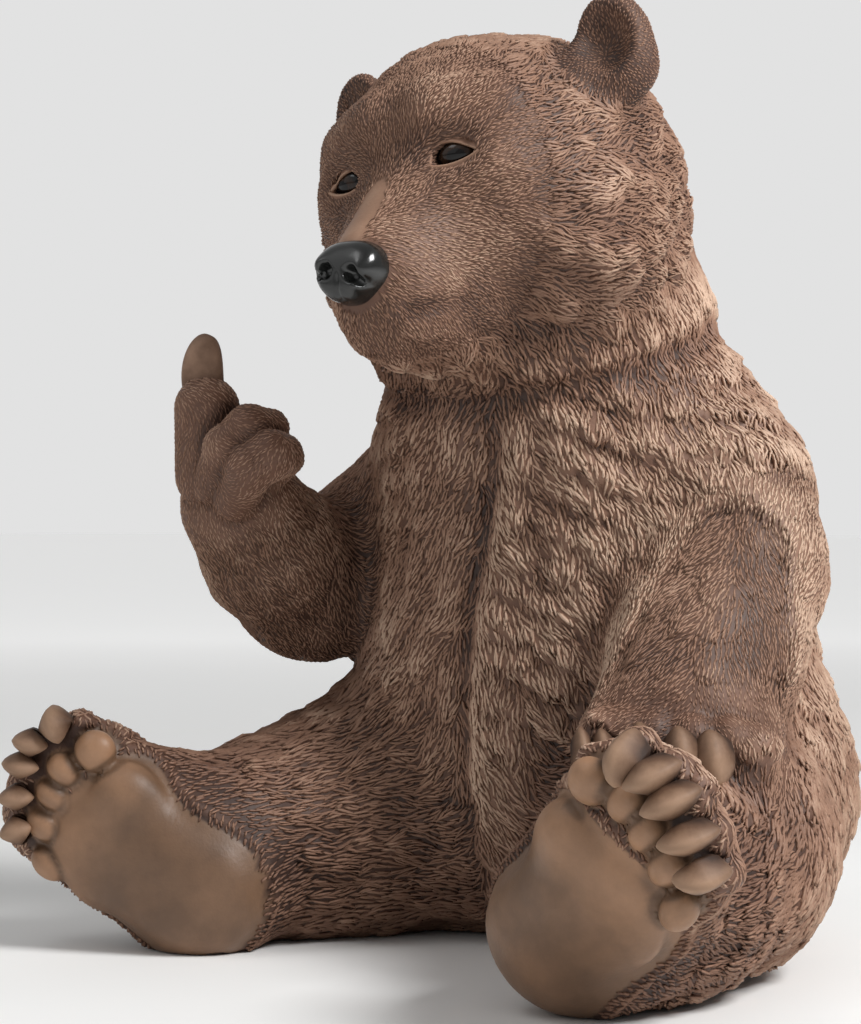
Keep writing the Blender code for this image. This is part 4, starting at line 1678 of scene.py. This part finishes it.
@dataclass(frozen=True)
class Nose:
    """The glossy nose: a flat-fronted block with two comma nostrils and a groove below."""

    centre: Triple = (-0.0003, -0.1072, -0.0478)
    half: Triple = (0.0134, 0.0104, 0.0114)
    pitch: float = -8.0
    roll: float = 8.0

    def surface(self) -> Surface:
        """Rings from the front pole to the back one.

        With a the ring's angle from the front and b the angle round it, the block is
        x = sin(a)^0.55 cos(b)^0.75, z = sin(a)^0.55 sin(b)^0.75, y = -cos(a)^0.60, scaled by
        the half sizes and drawn in below. Nostrils and groove are pressed in along +Y, and a
        lip and a lobe are raised beside each nostril.

        Returns:
            The closed surface.
        """
        a = np.linspace(0.015, math.pi - 0.015, 92)[:, None]
        b = np.linspace(0, 2 * math.pi, 84, endpoint=False)[None]
        x = signed_power(np.sin(a), 0.55) * signed_power(np.cos(b), 0.75)
        z = signed_power(np.sin(a), 0.55) * signed_power(np.sin(b), 0.75)
        y = -signed_power(np.cos(a), 0.60) * np.ones_like(b)
        x = x * (1 - 0.30 * smooth_step(-z, -0.1, 1.0))
        y = y + 0.22 * smooth_step(z, 0.1, 1.0) * (y < 0)
        grid = np.stack([x, y, z], axis=-1) * np.array(self.half)
        px, pz = np.abs(grid[..., 0]), grid[..., 2] + 0.15 * grid[..., 0] + 0.0012
        front = smooth_step(-y, -0.1, 0.4)
        dent = np.max([dab.shape(px, pz, 4) for dab in NOSTRIL_DENTS], axis=0)
        for dab in NOSTRIL_LUMPS:
            dent = dent - dab.shape(px, pz, 2)
        groove = 0.0010 * np.exp(-(px / 0.0008) ** 2) * smooth_step(-pz, 0.000, 0.004)
        grid[..., 1] += (dent + groove) * front
        places = grid.reshape(-1, 3) @ turn_matrix((self.pitch, self.roll, 0)).T + np.array(self.centre)
        return facing_out(closed_grid(HEAD.world(places).reshape(grid.shape)))


LID_SECTION = ((0.0, 0.0, 0.35), (0.02, 0.0004, 0.70), (0.10, 0.0008, 0.80), (0.22, 0.0009, 0.60),
               (0.36, 0.0006, 0.40), (0.55, 0.0003, 0.25), (0.78, 0.0001, 0.20), (1.0, 0.0, 0.20),
               (0.9, -0.0012, 0.1), (0.6, -0.0014, 0.1), (0.3, -0.0013, 0.1), (0.06, -0.0010, 0.1))


@dataclass(frozen=True)
class Eye:
    """One eye and its lids. In its own frame x runs outward from the nose, -y looks out."""

    side: Side
    radii: Triple = EYE_RADII
    half_width: float = 0.0086
    upper: float = 0.0068
    lower: float = 0.00135
    drop: float = -0.00225
    rim: float = 0.0026

    def world(self, points: Array) -> Array:
        """Own frame to world: turned outward, mirrored on the right, set in the head.

        Args:
            points: places in the eye's own frame.

        Returns:
            The same places in the world.
        """
        mirrored = points * np.array((self.side.value, 1.0, 1.0))
        turned = mirrored @ turn_matrix((0, 0, EYE_TURN * self.side.value)).T
        return HEAD.world(turned + np.array(EYE_PLACES[self.side]))

    def ball(self) -> Surface:
        """The glossy bead: an ellipsoid in rings about the line of sight.

        Returns:
            The closed surface.
        """
        a = np.linspace(0.02, math.pi - 0.02, 40)[:, None]
        b = np.linspace(0, 2 * math.pi, 48, endpoint=False)[None]
        shape = np.stack([np.sin(a) * np.cos(b), -np.cos(a) + 0 * b, np.sin(a) * np.sin(b)], axis=-1)
        grid = shape * np.array(self.radii)
        bead = closed_grid(self.world(grid.reshape(-1, 3)).reshape(grid.shape))
        off = np.append(np.hypot(shape[..., 0] - 0.02, shape[..., 2] + 0.20).ravel(), (1.0, 1.0))
        bead.layers["paint"] = np.stack([off, off * 0, off * 0, off * 0 + 1], axis=1)
        return facing_out(bead)

    def almond(self, t: Array, top: Array) -> Array:
        """Places x, z on the opening's edge: t from the inner corner to the outer, top or bottom.

        The height is t^p (1 - t)^q over its largest value, with p, q set for each lid.

        Args:
            t: the share of the way.
            top: where the upper lid is meant.

        Returns:
            Rows of x and z.
        """
        p, q = np.where(top, 0.44, 0.75), np.where(top, 1.0, 0.80)
        peak = (p / (p + q)) ** p * (q / (p + q)) ** q
        height = np.where(top, self.upper, -self.lower) * t ** p * (1 - t) ** q / peak
        x = (2 * t - 1) * self.half_width + EYE_SLIDES[self.side]
        angle = math.radians(EYE_SLANT)
        return np.stack([x * math.cos(angle) - height * math.sin(angle),
                         x * math.sin(angle) + height * math.cos(angle) + self.drop], axis=1)

    def skin_depth(self, flat: Array) -> Array:
        """The y where the line of sight through each x, z meets the head, found by marching in.

        Args:
            flat: rows of x and z.

        Returns:
            A y for each row.
        """
        y = np.full(len(flat), -0.016)
        for _ in range(24):
            y = y + 0.8 * HEAD.distance(self.world(np.stack([flat[:, 0], y, flat[:, 1]], axis=1)))
        return y

    def lids(self) -> Surface:
        """A rim round the opening, swept along the almond.

        The section runs from the bead's face out to the skin, with a bell for the proud edge
        near the opening, and back below it.

        Returns:
            The closed surface.
        """
        angle = np.linspace(0, 2 * math.pi, 120, endpoint=False)
        inner = self.almond(0.5 - 0.5 * np.cos(angle), np.sin(angle) >= 0)
        tangent = np.roll(inner, -1, axis=0) - np.roll(inner, 1, axis=0)
        middle = np.array((EYE_SLIDES[self.side], self.drop + 0.4 * self.upper))
        radial = inner - middle
        away = unit(np.stack([tangent[:, 1], -tangent[:, 0]], axis=1))
        away = away * np.sign(np.sum(away * radial, axis=1, keepdims=True))
        away = unit(away + 0.6 * unit(radial))
        outer = inner + away * self.rim
        rx, ry, rz = (1.03 * r for r in self.radii)
        bead = -ry * np.sqrt(np.maximum(1 - (inner[:, 0] / rx) ** 2 - (inner[:, 1] / rz) ** 2, 0.04))
        start = np.minimum(bead, self.skin_depth(inner + away * 0.0024) + 0.0016)
        end = np.minimum(self.skin_depth(outer) + 0.0005, start + 0.0030)
        s, lift, light = np.array(LID_SECTION).T[:, None, :]
        flat = inner[:, None] + away[:, None] * (s * self.rim)[..., None]
        deep = start[:, None] * (1 - s) + end[:, None] * s - lift
        rings = np.stack([flat[..., 0], deep, flat[..., 1]], axis=-1)
        rim = facing_out(closed_ring(self.world(rings.reshape(-1, 3)).reshape(rings.shape)))
        ridge = np.tile(light[0], len(angle))
        rim.layers["paint"] = np.stack([ridge, 0 * ridge + 0.45, 0 * ridge + 0.5, 0.15 * ridge], axis=1)
        return rim


@dataclass(frozen=True)
class Claw:
    """A blunt curved claw along an arc, with a ridge on its outer side."""

    root: Triple
    bow: Triple
    tip: Triple
    across: Triple
    half_width: float
    half_height: float
    point: float = 0.32

    def surface(self) -> Surface:
        """Sweeps a section along a quadratic curve through root and tip, drawn towards the bow.

        The width falls as the root of 1 - t^7 and closes round at the root. The section's upper
        side is a roof, 1 - |cos b|^1.6, its lower side round. The layer paint holds the ridge
        and the root.

        Returns:
            The closed surface.
        """
        t = (0.5 - 0.5 * np.cos(math.pi * np.linspace(0, 1, 26)))[:, None]
        path = ((1 - t) ** 2 * np.array(self.root) + 2 * t * (1 - t) * np.array(self.bow)
                + t ** 2 * np.array(self.tip))
        heading = unit(np.gradient(path, axis=0))
        side = lean(np.tile(np.array(self.across), (len(t), 1)), heading)
        up = np.cross(side, heading)
        bow_out = np.array(self.bow) - 0.5 * (np.array(self.root) + np.array(self.tip))
        if float(np.mean(up @ bow_out)) < 0:
            up = -up
        belly = 0.86 + 0.14 * np.sin(math.pi * t)
        taper = np.sqrt(np.clip(1 - t ** 7, 0, 1)) * (1 - self.point * t ** 2) * belly + 0.02
        taper = taper * np.sqrt(np.clip(1.02 - (1 - t) ** 14, 0, 1))
        b = np.linspace(0, 2 * math.pi, 24, endpoint=False)[None]
        roof = np.where(np.sin(b) > 0, 1.1 * (1 - np.abs(np.cos(b)) ** 1.6), 0.85 * np.sin(b))
        sx = np.cos(b) * self.half_width * taper ** 0.8
        sz = roof * self.half_height * np.sqrt(taper)
        rings = path[:, None] + side[:, None] * sx[..., None] + up[:, None] * sz[..., None]
        claw = closed_grid(rings)
        # The ridge layer is the roof's height, 0 on the lower side. The finish paints the upper side
        # lighter, a painted highlight.
        ridge = np.append((np.maximum(roof, 0) * np.ones_like(t)).ravel(), (0.0, 0.5))
        root = np.append(((1 - t) * np.ones_like(b)).ravel(), (1.0, 0.0))
        claw.layers["paint"] = np.stack([ridge, root, 0 * root, 0 * root + 1], axis=1)
        return facing_out(claw)


PAW_CLAWS = ((0.0765, -0.1105, 0.0832, 0.0038), (0.0835, -0.1080, 0.0830, 0.0042),
             (0.0955, -0.1025, 0.0855, 0.0053), (0.1090, -0.0985, 0.0845, 0.0058),
             (0.1172, -0.0915, 0.0832, 0.0066))


@dataclass(frozen=True)
class Claws:
    """All the claws: five on each foot, five on the resting paw, one on the raised finger.

    The root, bow and tip of a foot's claw each lie so far off the sole, and so far back along
    the toe, from tip to root.
    """

    off: Triple = (-0.0034, 0.0132, 0.0062)
    back: Triple = (-0.0018, 0.0020, 0.0002)
    higher: float = 0.0010
    foot_plump: float = 1.14
    foot_height: float = 0.0064
    paw_plump: float = 1.22
    paw_height: float = 0.0062

    def on_foot(self, foot: Foot) -> list[Claw]:
        """The claws of one foot. Each comes out behind its toe and bends over towards the pad.

        Args:
            foot: the foot.

        Returns:
            Its five claws.
        """
        own = foot.frame(foot.claw_shift)
        claws = []
        for toe in TOES:
            root = np.array(toe.root)
            tip = root + foot.claw_reach * (np.array(toe.tip) - root)
            way = (root - tip) / np.linalg.norm(root - tip)
            flat = np.stack([root, (root + tip) / 2, tip]) + np.outer(self.back, way) + (0, self.higher)
            off = np.array(self.off) - np.array((0.0, 0.5, 1.0)) * foot.claw_bend
            spots = np.column_stack([flat, off])
            start, bow, end = (tuple(row) for row in own.world(spots))
            across = tuple(own.axes @ np.array((way[1], -way[0], 0.0)))
            claws.append(Claw(start, bow, end, across, self.foot_plump * toe.claw, self.foot_height, 0.15))
        return claws

    def on_paw(self) -> list[Claw]:
        """The claws of the resting paw, hanging forward and down over the thigh.

        Returns:
            Its five claws.
        """
        turn = turn_matrix((20, -14, 42))
        across = tuple(turn[:, 0])
        steps = np.array(((0.0012, 0.0034, 0.0066), (0.0, -0.0120, 0.0010), (-0.0046, -0.0012, -0.0122)))
        claws = []
        for x, y, z, half_width in PAW_CLAWS:
            place = np.array((x - 0.0016, y - 0.0030, z + 0.0006))
            root, bow, tip = (tuple(place + turn @ step) for step in steps)
            claws.append(Claw(root, bow, tip, across, self.paw_plump * half_width, self.paw_height, 0.22))
        return claws

    def on_finger(self) -> Claw:
        """The long claw of the raised finger."""
        return Claw((-0.1014, -0.1165, 0.2120), (-0.1046, -0.1180, 0.2270), (-0.1004, -0.1150, 0.2384),
                    (0.83, 0.55, 0.0), 0.0086, 0.0064, 0.34)


# Finishes

class Graph:
    """A material's node graph, with short calls for the nodes used here."""

    def __init__(self, name: str) -> None:
        """Starts an empty material with its Principled shader.

        Args:
            name: the material's name.
        """
        self.material = bpy.data.materials.new(name)
        self.material.use_nodes = True
        self.tree = self.material.node_tree
        self.shader = self.tree.nodes["Principled BSDF"]
        self.place = self.tree.nodes.new("ShaderNodeTexCoord").outputs["Object"]

    def node(self, kind: str, **settings: object) -> bpy.types.Node:
        """Adds a node and sets its own properties.

        Args:
            kind: the node's type.
            settings: its properties by name.

        Returns:
            The node.
        """
        made = self.tree.nodes.new(kind)
        for name, value in settings.items():
            setattr(made, name, value)
        return made

    def feed(self, source: object, target: bpy.types.NodeSocket) -> None:
        """Links a socket to a target, or sets a constant on it.

        Args:
            source: a socket or a constant.
            target: the socket that takes it.
        """
        if isinstance(source, bpy.types.NodeSocket):
            self.tree.links.new(source, target)
        else:
            target.default_value = source

    def noise(self, scale: float, detail: float = 3.0, roughness: float = 0.5) -> bpy.types.NodeSocket:
        """Noise over the object's own coordinates, about 0 to 1.

        Args:
            scale: how fine it is.
            detail: how many finer layers it has.
            roughness: how strong they are.

        Returns:
            The socket of the result.
        """
        made = self.node("ShaderNodeTexNoise")
        self.feed(self.place, made.inputs["Vector"])
        for name, value in (("Scale", scale), ("Detail", detail), ("Roughness", roughness)):
            made.inputs[name].default_value = value
        return made.outputs["Fac"]

    def paint(self) -> tuple[bpy.types.NodeSocket, ...]:
        """The four painted values: red, green, blue and alpha of the layer named paint.

        Returns:
            Four sockets.
        """
        made = self.node("ShaderNodeAttribute", attribute_name="paint")
        parts = self.node("ShaderNodeSeparateColor")
        self.feed(made.outputs["Color"], parts.inputs["Color"])
        return (*parts.outputs[:3], made.outputs["Alpha"])

    def maths(self, kind: str, a: object, b: object = 0.0, c: object = 0.0) -> bpy.types.NodeSocket:
        """One calculation on numbers or sockets.

        Args:
            kind: the calculation.
            a: its first value.
            b: its second.
            c: its third.

        Returns:
            The socket of the result.
        """
        made = self.node("ShaderNodeMath", operation=kind)
        for source, target in zip((a, b, c), made.inputs):
            self.feed(source, target)
        return made.outputs["Value"]

    def spread(self, value: object, low: float, high: float, to: Range = (0.0, 1.0)) -> bpy.types.NodeSocket:
        """Maps low..high to a new range, held at its ends.

        Args:
            value: what is mapped.
            low: where it starts.
            high: where it ends.
            to: the new range.

        Returns:
            The socket of the result.
        """
        made = self.node("ShaderNodeMapRange", clamp=True)
        names = ("Value", "From Min", "From Max", "To Min", "To Max")
        for source, name in zip((value, low, high, *to), names):
            self.feed(source, made.inputs[name])
        return made.outputs["Result"]

    def mix(self, share: object, a: object, b: object, kind: str = "MIX") -> bpy.types.NodeSocket:
        """Mixes two colours by a share.

        Args:
            share: of the second colour.
            a: the first colour.
            b: the second.
            kind: the way of mixing.

        Returns:
            The socket of the result.
        """
        made = self.node("ShaderNodeMix", data_type="RGBA", blend_type=kind)
        for source, target in ((share, made.inputs[0]), (a, made.inputs[6]), (b, made.inputs[7])):
            self.feed((*source, 1.0) if isinstance(source, tuple) and len(source) == 3 else source, target)
        return made.outputs[2]

    def ramp(self, value: object, stops: Sequence[tuple[float, Colour]]) -> bpy.types.NodeSocket:
        """Looks a value up in a row of colours.

        Args:
            value: what is looked up.
            stops: places in the row, each with its colour.

        Returns:
            The socket of the result.
        """
        made = self.node("ShaderNodeValToRGB")
        self.feed(value, made.inputs["Fac"])
        row = made.color_ramp.elements
        for element, (place, colour) in zip(row[:], (stops[0], stops[-1])):
            element.position = place
            element.color = (*colour, 1.0)
        for place, colour in stops[1:-1]:
            row.new(place).color = (*colour, 1.0)
        return made.outputs["Color"]

    def bump(self, height: object, distance: float, strength: float = 1.0) -> None:
        """Sets a bump on the shader's normal.

        Args:
            height: the pattern.
            distance: its depth in metres.
            strength: its share.
        """
        made = self.node("ShaderNodeBump")
        self.feed(height, made.inputs["Height"])
        made.inputs["Distance"].default_value = distance
        made.inputs["Strength"].default_value = strength
        self.feed(made.outputs["Normal"], self.shader.inputs["Normal"])

    def done(self, **values: object) -> bpy.types.Material:
        """Sets or links the shader's inputs by name, underscores for spaces, and gives the material.

        Args:
            values: sockets or constants by input.

        Returns:
            The material.
        """
        for name, value in values.items():
            value = (*value, 1.0) if isinstance(value, tuple) and len(value) == 3 else value
            self.feed(value, self.shader.inputs[name.replace("_", " ")])
        return self.material


@dataclass(frozen=True)
class PaintedFur:
    """Brown resin, washed dark in the grooves and brushed tan on the ridges, and through the depth layer
    painted darker where shade falls and lighter in a painted highlight; tan on the pads.
    """

    wash_and_shade: Colour = (0.034, 0.014, 0.008)
    brown: Colour = (0.148, 0.072, 0.044)
    tan: Colour = (0.300, 0.170, 0.110)
    light: Colour = (0.600, 0.425, 0.310)
    pad: Colour = (0.345, 0.190, 0.106)

    def make(self) -> bpy.types.Material:
        """Builds the material from the layer paint: ridge, depth, tone and pad share.

        Returns:
            The material.
        """
        g = Graph("painted_resin")
        ridge, depth, tone, pad = g.paint()
        patches = g.noise(22.0, 3.0, 0.55)
        worn = g.noise(75.0, 2.0)
        grain = g.noise(900.0, 2.0)
        # Lightness: ridge and depth hold the real dark paint and dry-brush, and depth also holds the painted
        # shade and the painted muzzle highlight. Tone and the noises vary it at random.
        value = g.maths("MULTIPLY", g.spread(ridge, 0.04, 0.60), 0.42)
        value = g.maths("MULTIPLY_ADD", depth, 0.46, value)
        value = g.maths("MULTIPLY_ADD", tone, 0.16, value)
        value = g.maths("MULTIPLY_ADD", g.maths("SUBTRACT", patches, 0.5), 0.50, value)
        value = g.maths("MULTIPLY_ADD", g.maths("SUBTRACT", worn, 0.5), 0.30, value)
        value = g.maths("MULTIPLY_ADD", g.maths("SUBTRACT", grain, 0.5), 0.12, value)
        coat = g.ramp(value, ((0.06, self.wash_and_shade), (0.38, self.brown), (0.68, self.tan), (1.0, self.light)))
        mauve = g.spread(g.noise(9.0, 2.0), 0.40, 0.62)
        coat = g.mix(g.maths("MULTIPLY", mauve, 0.22), coat, (0.92, 0.78, 0.76), "MULTIPLY")
        # Pad colour, varied at random by wear and darkened with the depth layer: painted shade where pads
        # lie in creases.
        wear_and_highlight = g.spread(g.noise(60.0, 4.0, 0.6), 0.35, 0.70, (0.80, 1.14))
        shaded = g.maths("MULTIPLY", wear_and_highlight, g.spread(depth, 0.05, 0.5, (0.45, 1.0)))
        tint = g.node("ShaderNodeVectorMath", operation="SCALE")
        tint.inputs[0].default_value = self.pad
        g.feed(shaded, tint.inputs["Scale"])
        colour = g.mix(pad, coat, tint.outputs["Vector"])
        rough = g.maths("SUBTRACT", g.spread(worn, 0.3, 0.7, (0.56, 0.70)), g.maths("MULTIPLY", pad, 0.14))
        g.bump(grain, 0.00015, 0.6)
        return g.done(Base_Color=colour, Roughness=rough)


@dataclass(frozen=True)
class Gloss:
    """Clear varnish over a dark coat, as on the nose."""

    name: str
    colour: Colour
    roughness: float
    grain: float = 0.0

    def make(self) -> bpy.types.Material:
        """Builds the material, with a faint unevenness in the varnish.

        Returns:
            The material.
        """
        g = Graph(self.name)
        speckle = g.noise(420.0, 2.0)
        smear = g.noise(70.0, 2.0)
        colour = g.mix(g.spread(smear, 0.35, 0.65), self.colour, tuple(1.7 * c for c in self.colour))
        rough = g.spread(smear, 0.3, 0.7, (self.roughness, self.roughness + 0.08))
        g.bump(speckle, 0.0001, self.grain)
        return g.done(Base_Color=colour, Roughness=rough, Specular_IOR_Level=0.50, Coat_Weight=0.40,
                      Coat_Roughness=self.roughness)


@dataclass(frozen=True)
class EyeGloss:
    """A dark brown iris round a black pupil, under a high gloss."""

    pupil: Colour = (0.004, 0.003, 0.003)
    iris: Colour = (0.026, 0.012, 0.006)

    def make(self) -> bpy.types.Material:
        """Builds the material from the distance off the line of sight.

        Returns:
            The material.
        """
        g = Graph("eye_gloss")
        off = g.paint()[0]
        ring = g.maths("MULTIPLY", g.spread(off, 0.36, 0.46), g.spread(off, 0.80, 0.66))
        rays = g.spread(g.noise(800.0, 2.0), 0.3, 0.7, (0.5, 1.2))
        colour = g.mix(g.maths("MULTIPLY", ring, rays), self.pupil, self.iris)
        return g.done(Base_Color=colour, Roughness=0.05, Specular_IOR_Level=0.30, Coat_Weight=0.10,
                      Coat_Roughness=0.02)


@dataclass(frozen=True)
class Horn:
    """Claws: tan resin, lighter along the ridge and over the upper side, darker at the root and below:
    partly dry-brushed and washed paint, partly painted highlight and painted shade.
    """

    name: str = "claw_resin"
    wash_and_shade: Colour = (0.034, 0.016, 0.009)
    base: Colour = (0.125, 0.067, 0.040)
    light: Colour = (0.330, 0.205, 0.132)

    def make(self) -> bpy.types.Material:
        """Builds the material from the layer paint (ridge, root) with streaky wear.

        Returns:
            The material.
        """
        g = Graph(self.name)
        ridge, root = g.paint()[:2]
        wear = g.noise(130.0, 4.0, 0.6)
        # Painted highlight on the upper side and the ridge, with the real dry-brush.
        value = g.maths("MULTIPLY_ADD", ridge, 0.55, g.maths("MULTIPLY", wear, 0.55))
        # Darker towards the root under the fur: painted shade, with the real dark paint there.
        value = g.maths("SUBTRACT", value, g.maths("MULTIPLY", g.spread(root, 0.55, 1.0), 0.40))
        colour = g.ramp(value, ((0.10, self.wash_and_shade), (0.42, self.base), (0.85, self.light)))
        g.bump(g.noise(500.0, 3.0), 0.0002, 0.4)
        return g.done(Base_Color=colour, Roughness=0.60, Specular_IOR_Level=0.30)


# A lighter copy of the claw finish for the raised finger: painted light, as that claw faces away from the
# key lamp.
LIT_HORN = Horn("lit_claw_resin", wash_and_shade=(0.150, 0.085, 0.054), base=(0.330, 0.205, 0.140),
                   light=(0.480, 0.330, 0.240))
NOSE_GLOSS = Gloss("nose_gloss", (0.0060, 0.0064, 0.0060), 0.20, 0.3)


@dataclass(frozen=True)
class FloorPaint:
    """The pale studio floor."""

    colour: Colour = (0.90, 0.90, 0.89)

    def make(self) -> bpy.types.Material:
        """Builds the material: faintly mottled, and glowing more the farther it lies from the middle, a
        painted light that lets the far floor fade into the bright sky.

        Returns:
            The material.
        """
        g = Graph("studio_floor")
        cloud = g.spread(g.noise(3.0, 2.0), 0.3, 0.7)
        far = g.node("ShaderNodeVectorMath", operation="LENGTH")
        g.feed(g.place, far.inputs[0])
        # Painted light: the floor glows more with distance from the middle, though it is no lamp.
        glow = g.spread(far.outputs["Value"], 0.5, 2.6, (0.0, 0.42))
        colour = g.mix(cloud, self.colour, tuple(0.97 * c for c in self.colour))
        return g.done(Base_Color=colour, Roughness=0.8, Emission_Color=(1.0, 1.0, 1.0),
                      Emission_Strength=glow)


# The studio

@dataclass(frozen=True)
class Lamp:
    """A soft square light."""

    name: str
    place: Triple
    power: float
    size: float

    def hang(self, aim: Vector) -> bpy.types.Object:
        """Makes the light and turns it towards the aim.

        Args:
            aim: the place it shines at.

        Returns:
            The light's object.
        """
        light = bpy.data.lights.new(self.name, "AREA")
        light.energy = self.power
        light.size = self.size
        item = bpy.data.objects.new(self.name, light)
        item.location = self.place
        item.rotation_euler = (aim - Vector(self.place)).to_track_quat("-Z", "Y").to_euler()
        bpy.context.scene.collection.objects.link(item)
        return item


LAMPS = (Lamp("key", (1.25, 0.05, 1.30), 31.0, 0.6), Lamp("fill", (-0.5, -1.3, 1.35), 4.4, 2.0),
         Lamp("catch", (-0.35, -0.80, 1.35), 1.3, 0.45))


@dataclass(frozen=True)
class Studio:
    """Floor, lamps, backdrop light and the camera."""

    azimuth: float = 38.0
    away: float = 1.06
    height: float = 0.167
    aside: float = 0.064
    focal_pixels: float = 2642.0
    level_row: float = 518.0
    sky: Range = (0.30, 0.76)
    half_floor: float = 20.0
    floor_gap: float = 0.0004

    def floor(self) -> None:
        """Lays a large floor at the seat's height."""
        mesh = bpy.data.meshes.new("floor")
        square = ((-1, -1), (1, -1), (1, 1), (-1, 1))
        corners = [(x * self.half_floor, y * self.half_floor, 0.0) for x, y in square]
        mesh.from_pydata(corners, [], [(0, 1, 2, 3)])
        mesh.materials.append(FloorPaint().make())
        item = bpy.data.objects.new("floor", mesh)
        item.location = (0, 0, -self.floor_gap)
        bpy.context.scene.collection.objects.link(item)

    def light(self) -> None:
        """Hangs a key light and a wide fill, and sets a sky that is brighter behind the bear."""
        aim = Vector((0.0, 0.0, 0.15))
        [lamp.hang(aim) for lamp in LAMPS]
        world = bpy.data.worlds.new("studio")
        world.use_nodes = True
        tree = world.node_tree
        sky = tree.nodes["Background"]
        sky.inputs["Color"].default_value = (1.0, 1.0, 1.0, 1.0)
        way = tree.nodes.new("ShaderNodeTexCoord")
        facing = tree.nodes.new("ShaderNodeVectorMath")
        facing.operation = "DOT_PRODUCT"
        turn = math.radians(self.azimuth)
        facing.inputs[1].default_value = (-math.sin(turn), math.cos(turn), 0.0)
        glow = tree.nodes.new("ShaderNodeMapRange")
        for name, value in zip(("From Min", "From Max", "To Min", "To Max"), (0.55, 0.95, *self.sky)):
            glow.inputs[name].default_value = value
        tree.links.new(way.outputs["Generated"], facing.inputs[0])
        tree.links.new(facing.outputs["Value"], glow.inputs["Value"])
        tree.links.new(glow.outputs["Result"], sky.inputs["Strength"])
        bpy.context.scene.world = world

    def camera(self) -> None:
        """Sets the camera where the picture was taken from."""
        turn = math.radians(self.azimuth)
        right = Vector((math.cos(turn), math.sin(turn), 0.0))
        ahead = Vector((-math.sin(turn), math.cos(turn), 0.0))
        place = -self.away * ahead - self.aside * right + Vector((0, 0, self.height))
        lens = bpy.data.cameras.new("camera")
        lens.sensor_fit = "VERTICAL"
        lens.sensor_height = 36.0
        lens.lens = 36.0 * self.focal_pixels / PICTURE_HEIGHT
        lens.shift_y = (self.level_row - PICTURE_HEIGHT / 2.0) / PICTURE_HEIGHT
        lens.clip_start = 0.01
        item = bpy.data.objects.new("camera", lens)
        item.matrix_world = Matrix((
            (right.x, 0.0, -ahead.x, place.x),
            (right.y, 0.0, -ahead.y, place.y),
            (0.0, 1.0, 0.0, place.z),
            (0.0, 0.0, 0.0, 1.0)))
        bpy.context.scene.collection.objects.link(item)
        bpy.context.scene.camera = item

    def build(self) -> None:
        """Builds all of it."""
        self.floor()
        self.light()
        self.camera()
        bpy.context.scene.view_settings.view_transform = "Standard"


def main() -> None:
    """Builds every piece in order."""
    logging.basicConfig(level=logging.INFO, format="%(message)s")
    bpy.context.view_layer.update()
    fur_paint = PaintedFur().make()
    skin = Skin()
    body = skin.surface.piece("bear_skin", fur_paint)
    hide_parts("body")
    for strands in Fur(skin).build(fur_paint):
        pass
    nose = Nose().surface().piece("nose", NOSE_GLOSS.make())
    eye_paint = EyeGloss().make()
    eyes = {"eye_left": Eye(Side.LEFT), "eye_right": Eye(Side.RIGHT, half_width=0.0068)}
    for name, eye in eyes.items():
        bead = eye.ball().piece(name + "_bead", eye_paint)
        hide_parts(name)
    lids = joined([eye.lids() for eye in eyes.values()])
    lids.piece("eyelids", fur_paint)
    claws = Claws()
    horn = Horn().make()
    lit_horn = LIT_HORN.make()
    groups = (("claws_left_foot", claws.on_foot(LEFT_FOOT), horn),
              ("claws_right_foot", claws.on_foot(RIGHT_FOOT), horn),
              ("claws_paw", claws.on_paw(), horn),
              ("claw_finger", [claws.on_finger()], lit_horn))
    for name, group, finish in groups:
        joined([claw.surface() for claw in group]).piece(name, finish)
    Studio().build()


if __name__ == "__main__":
    main()
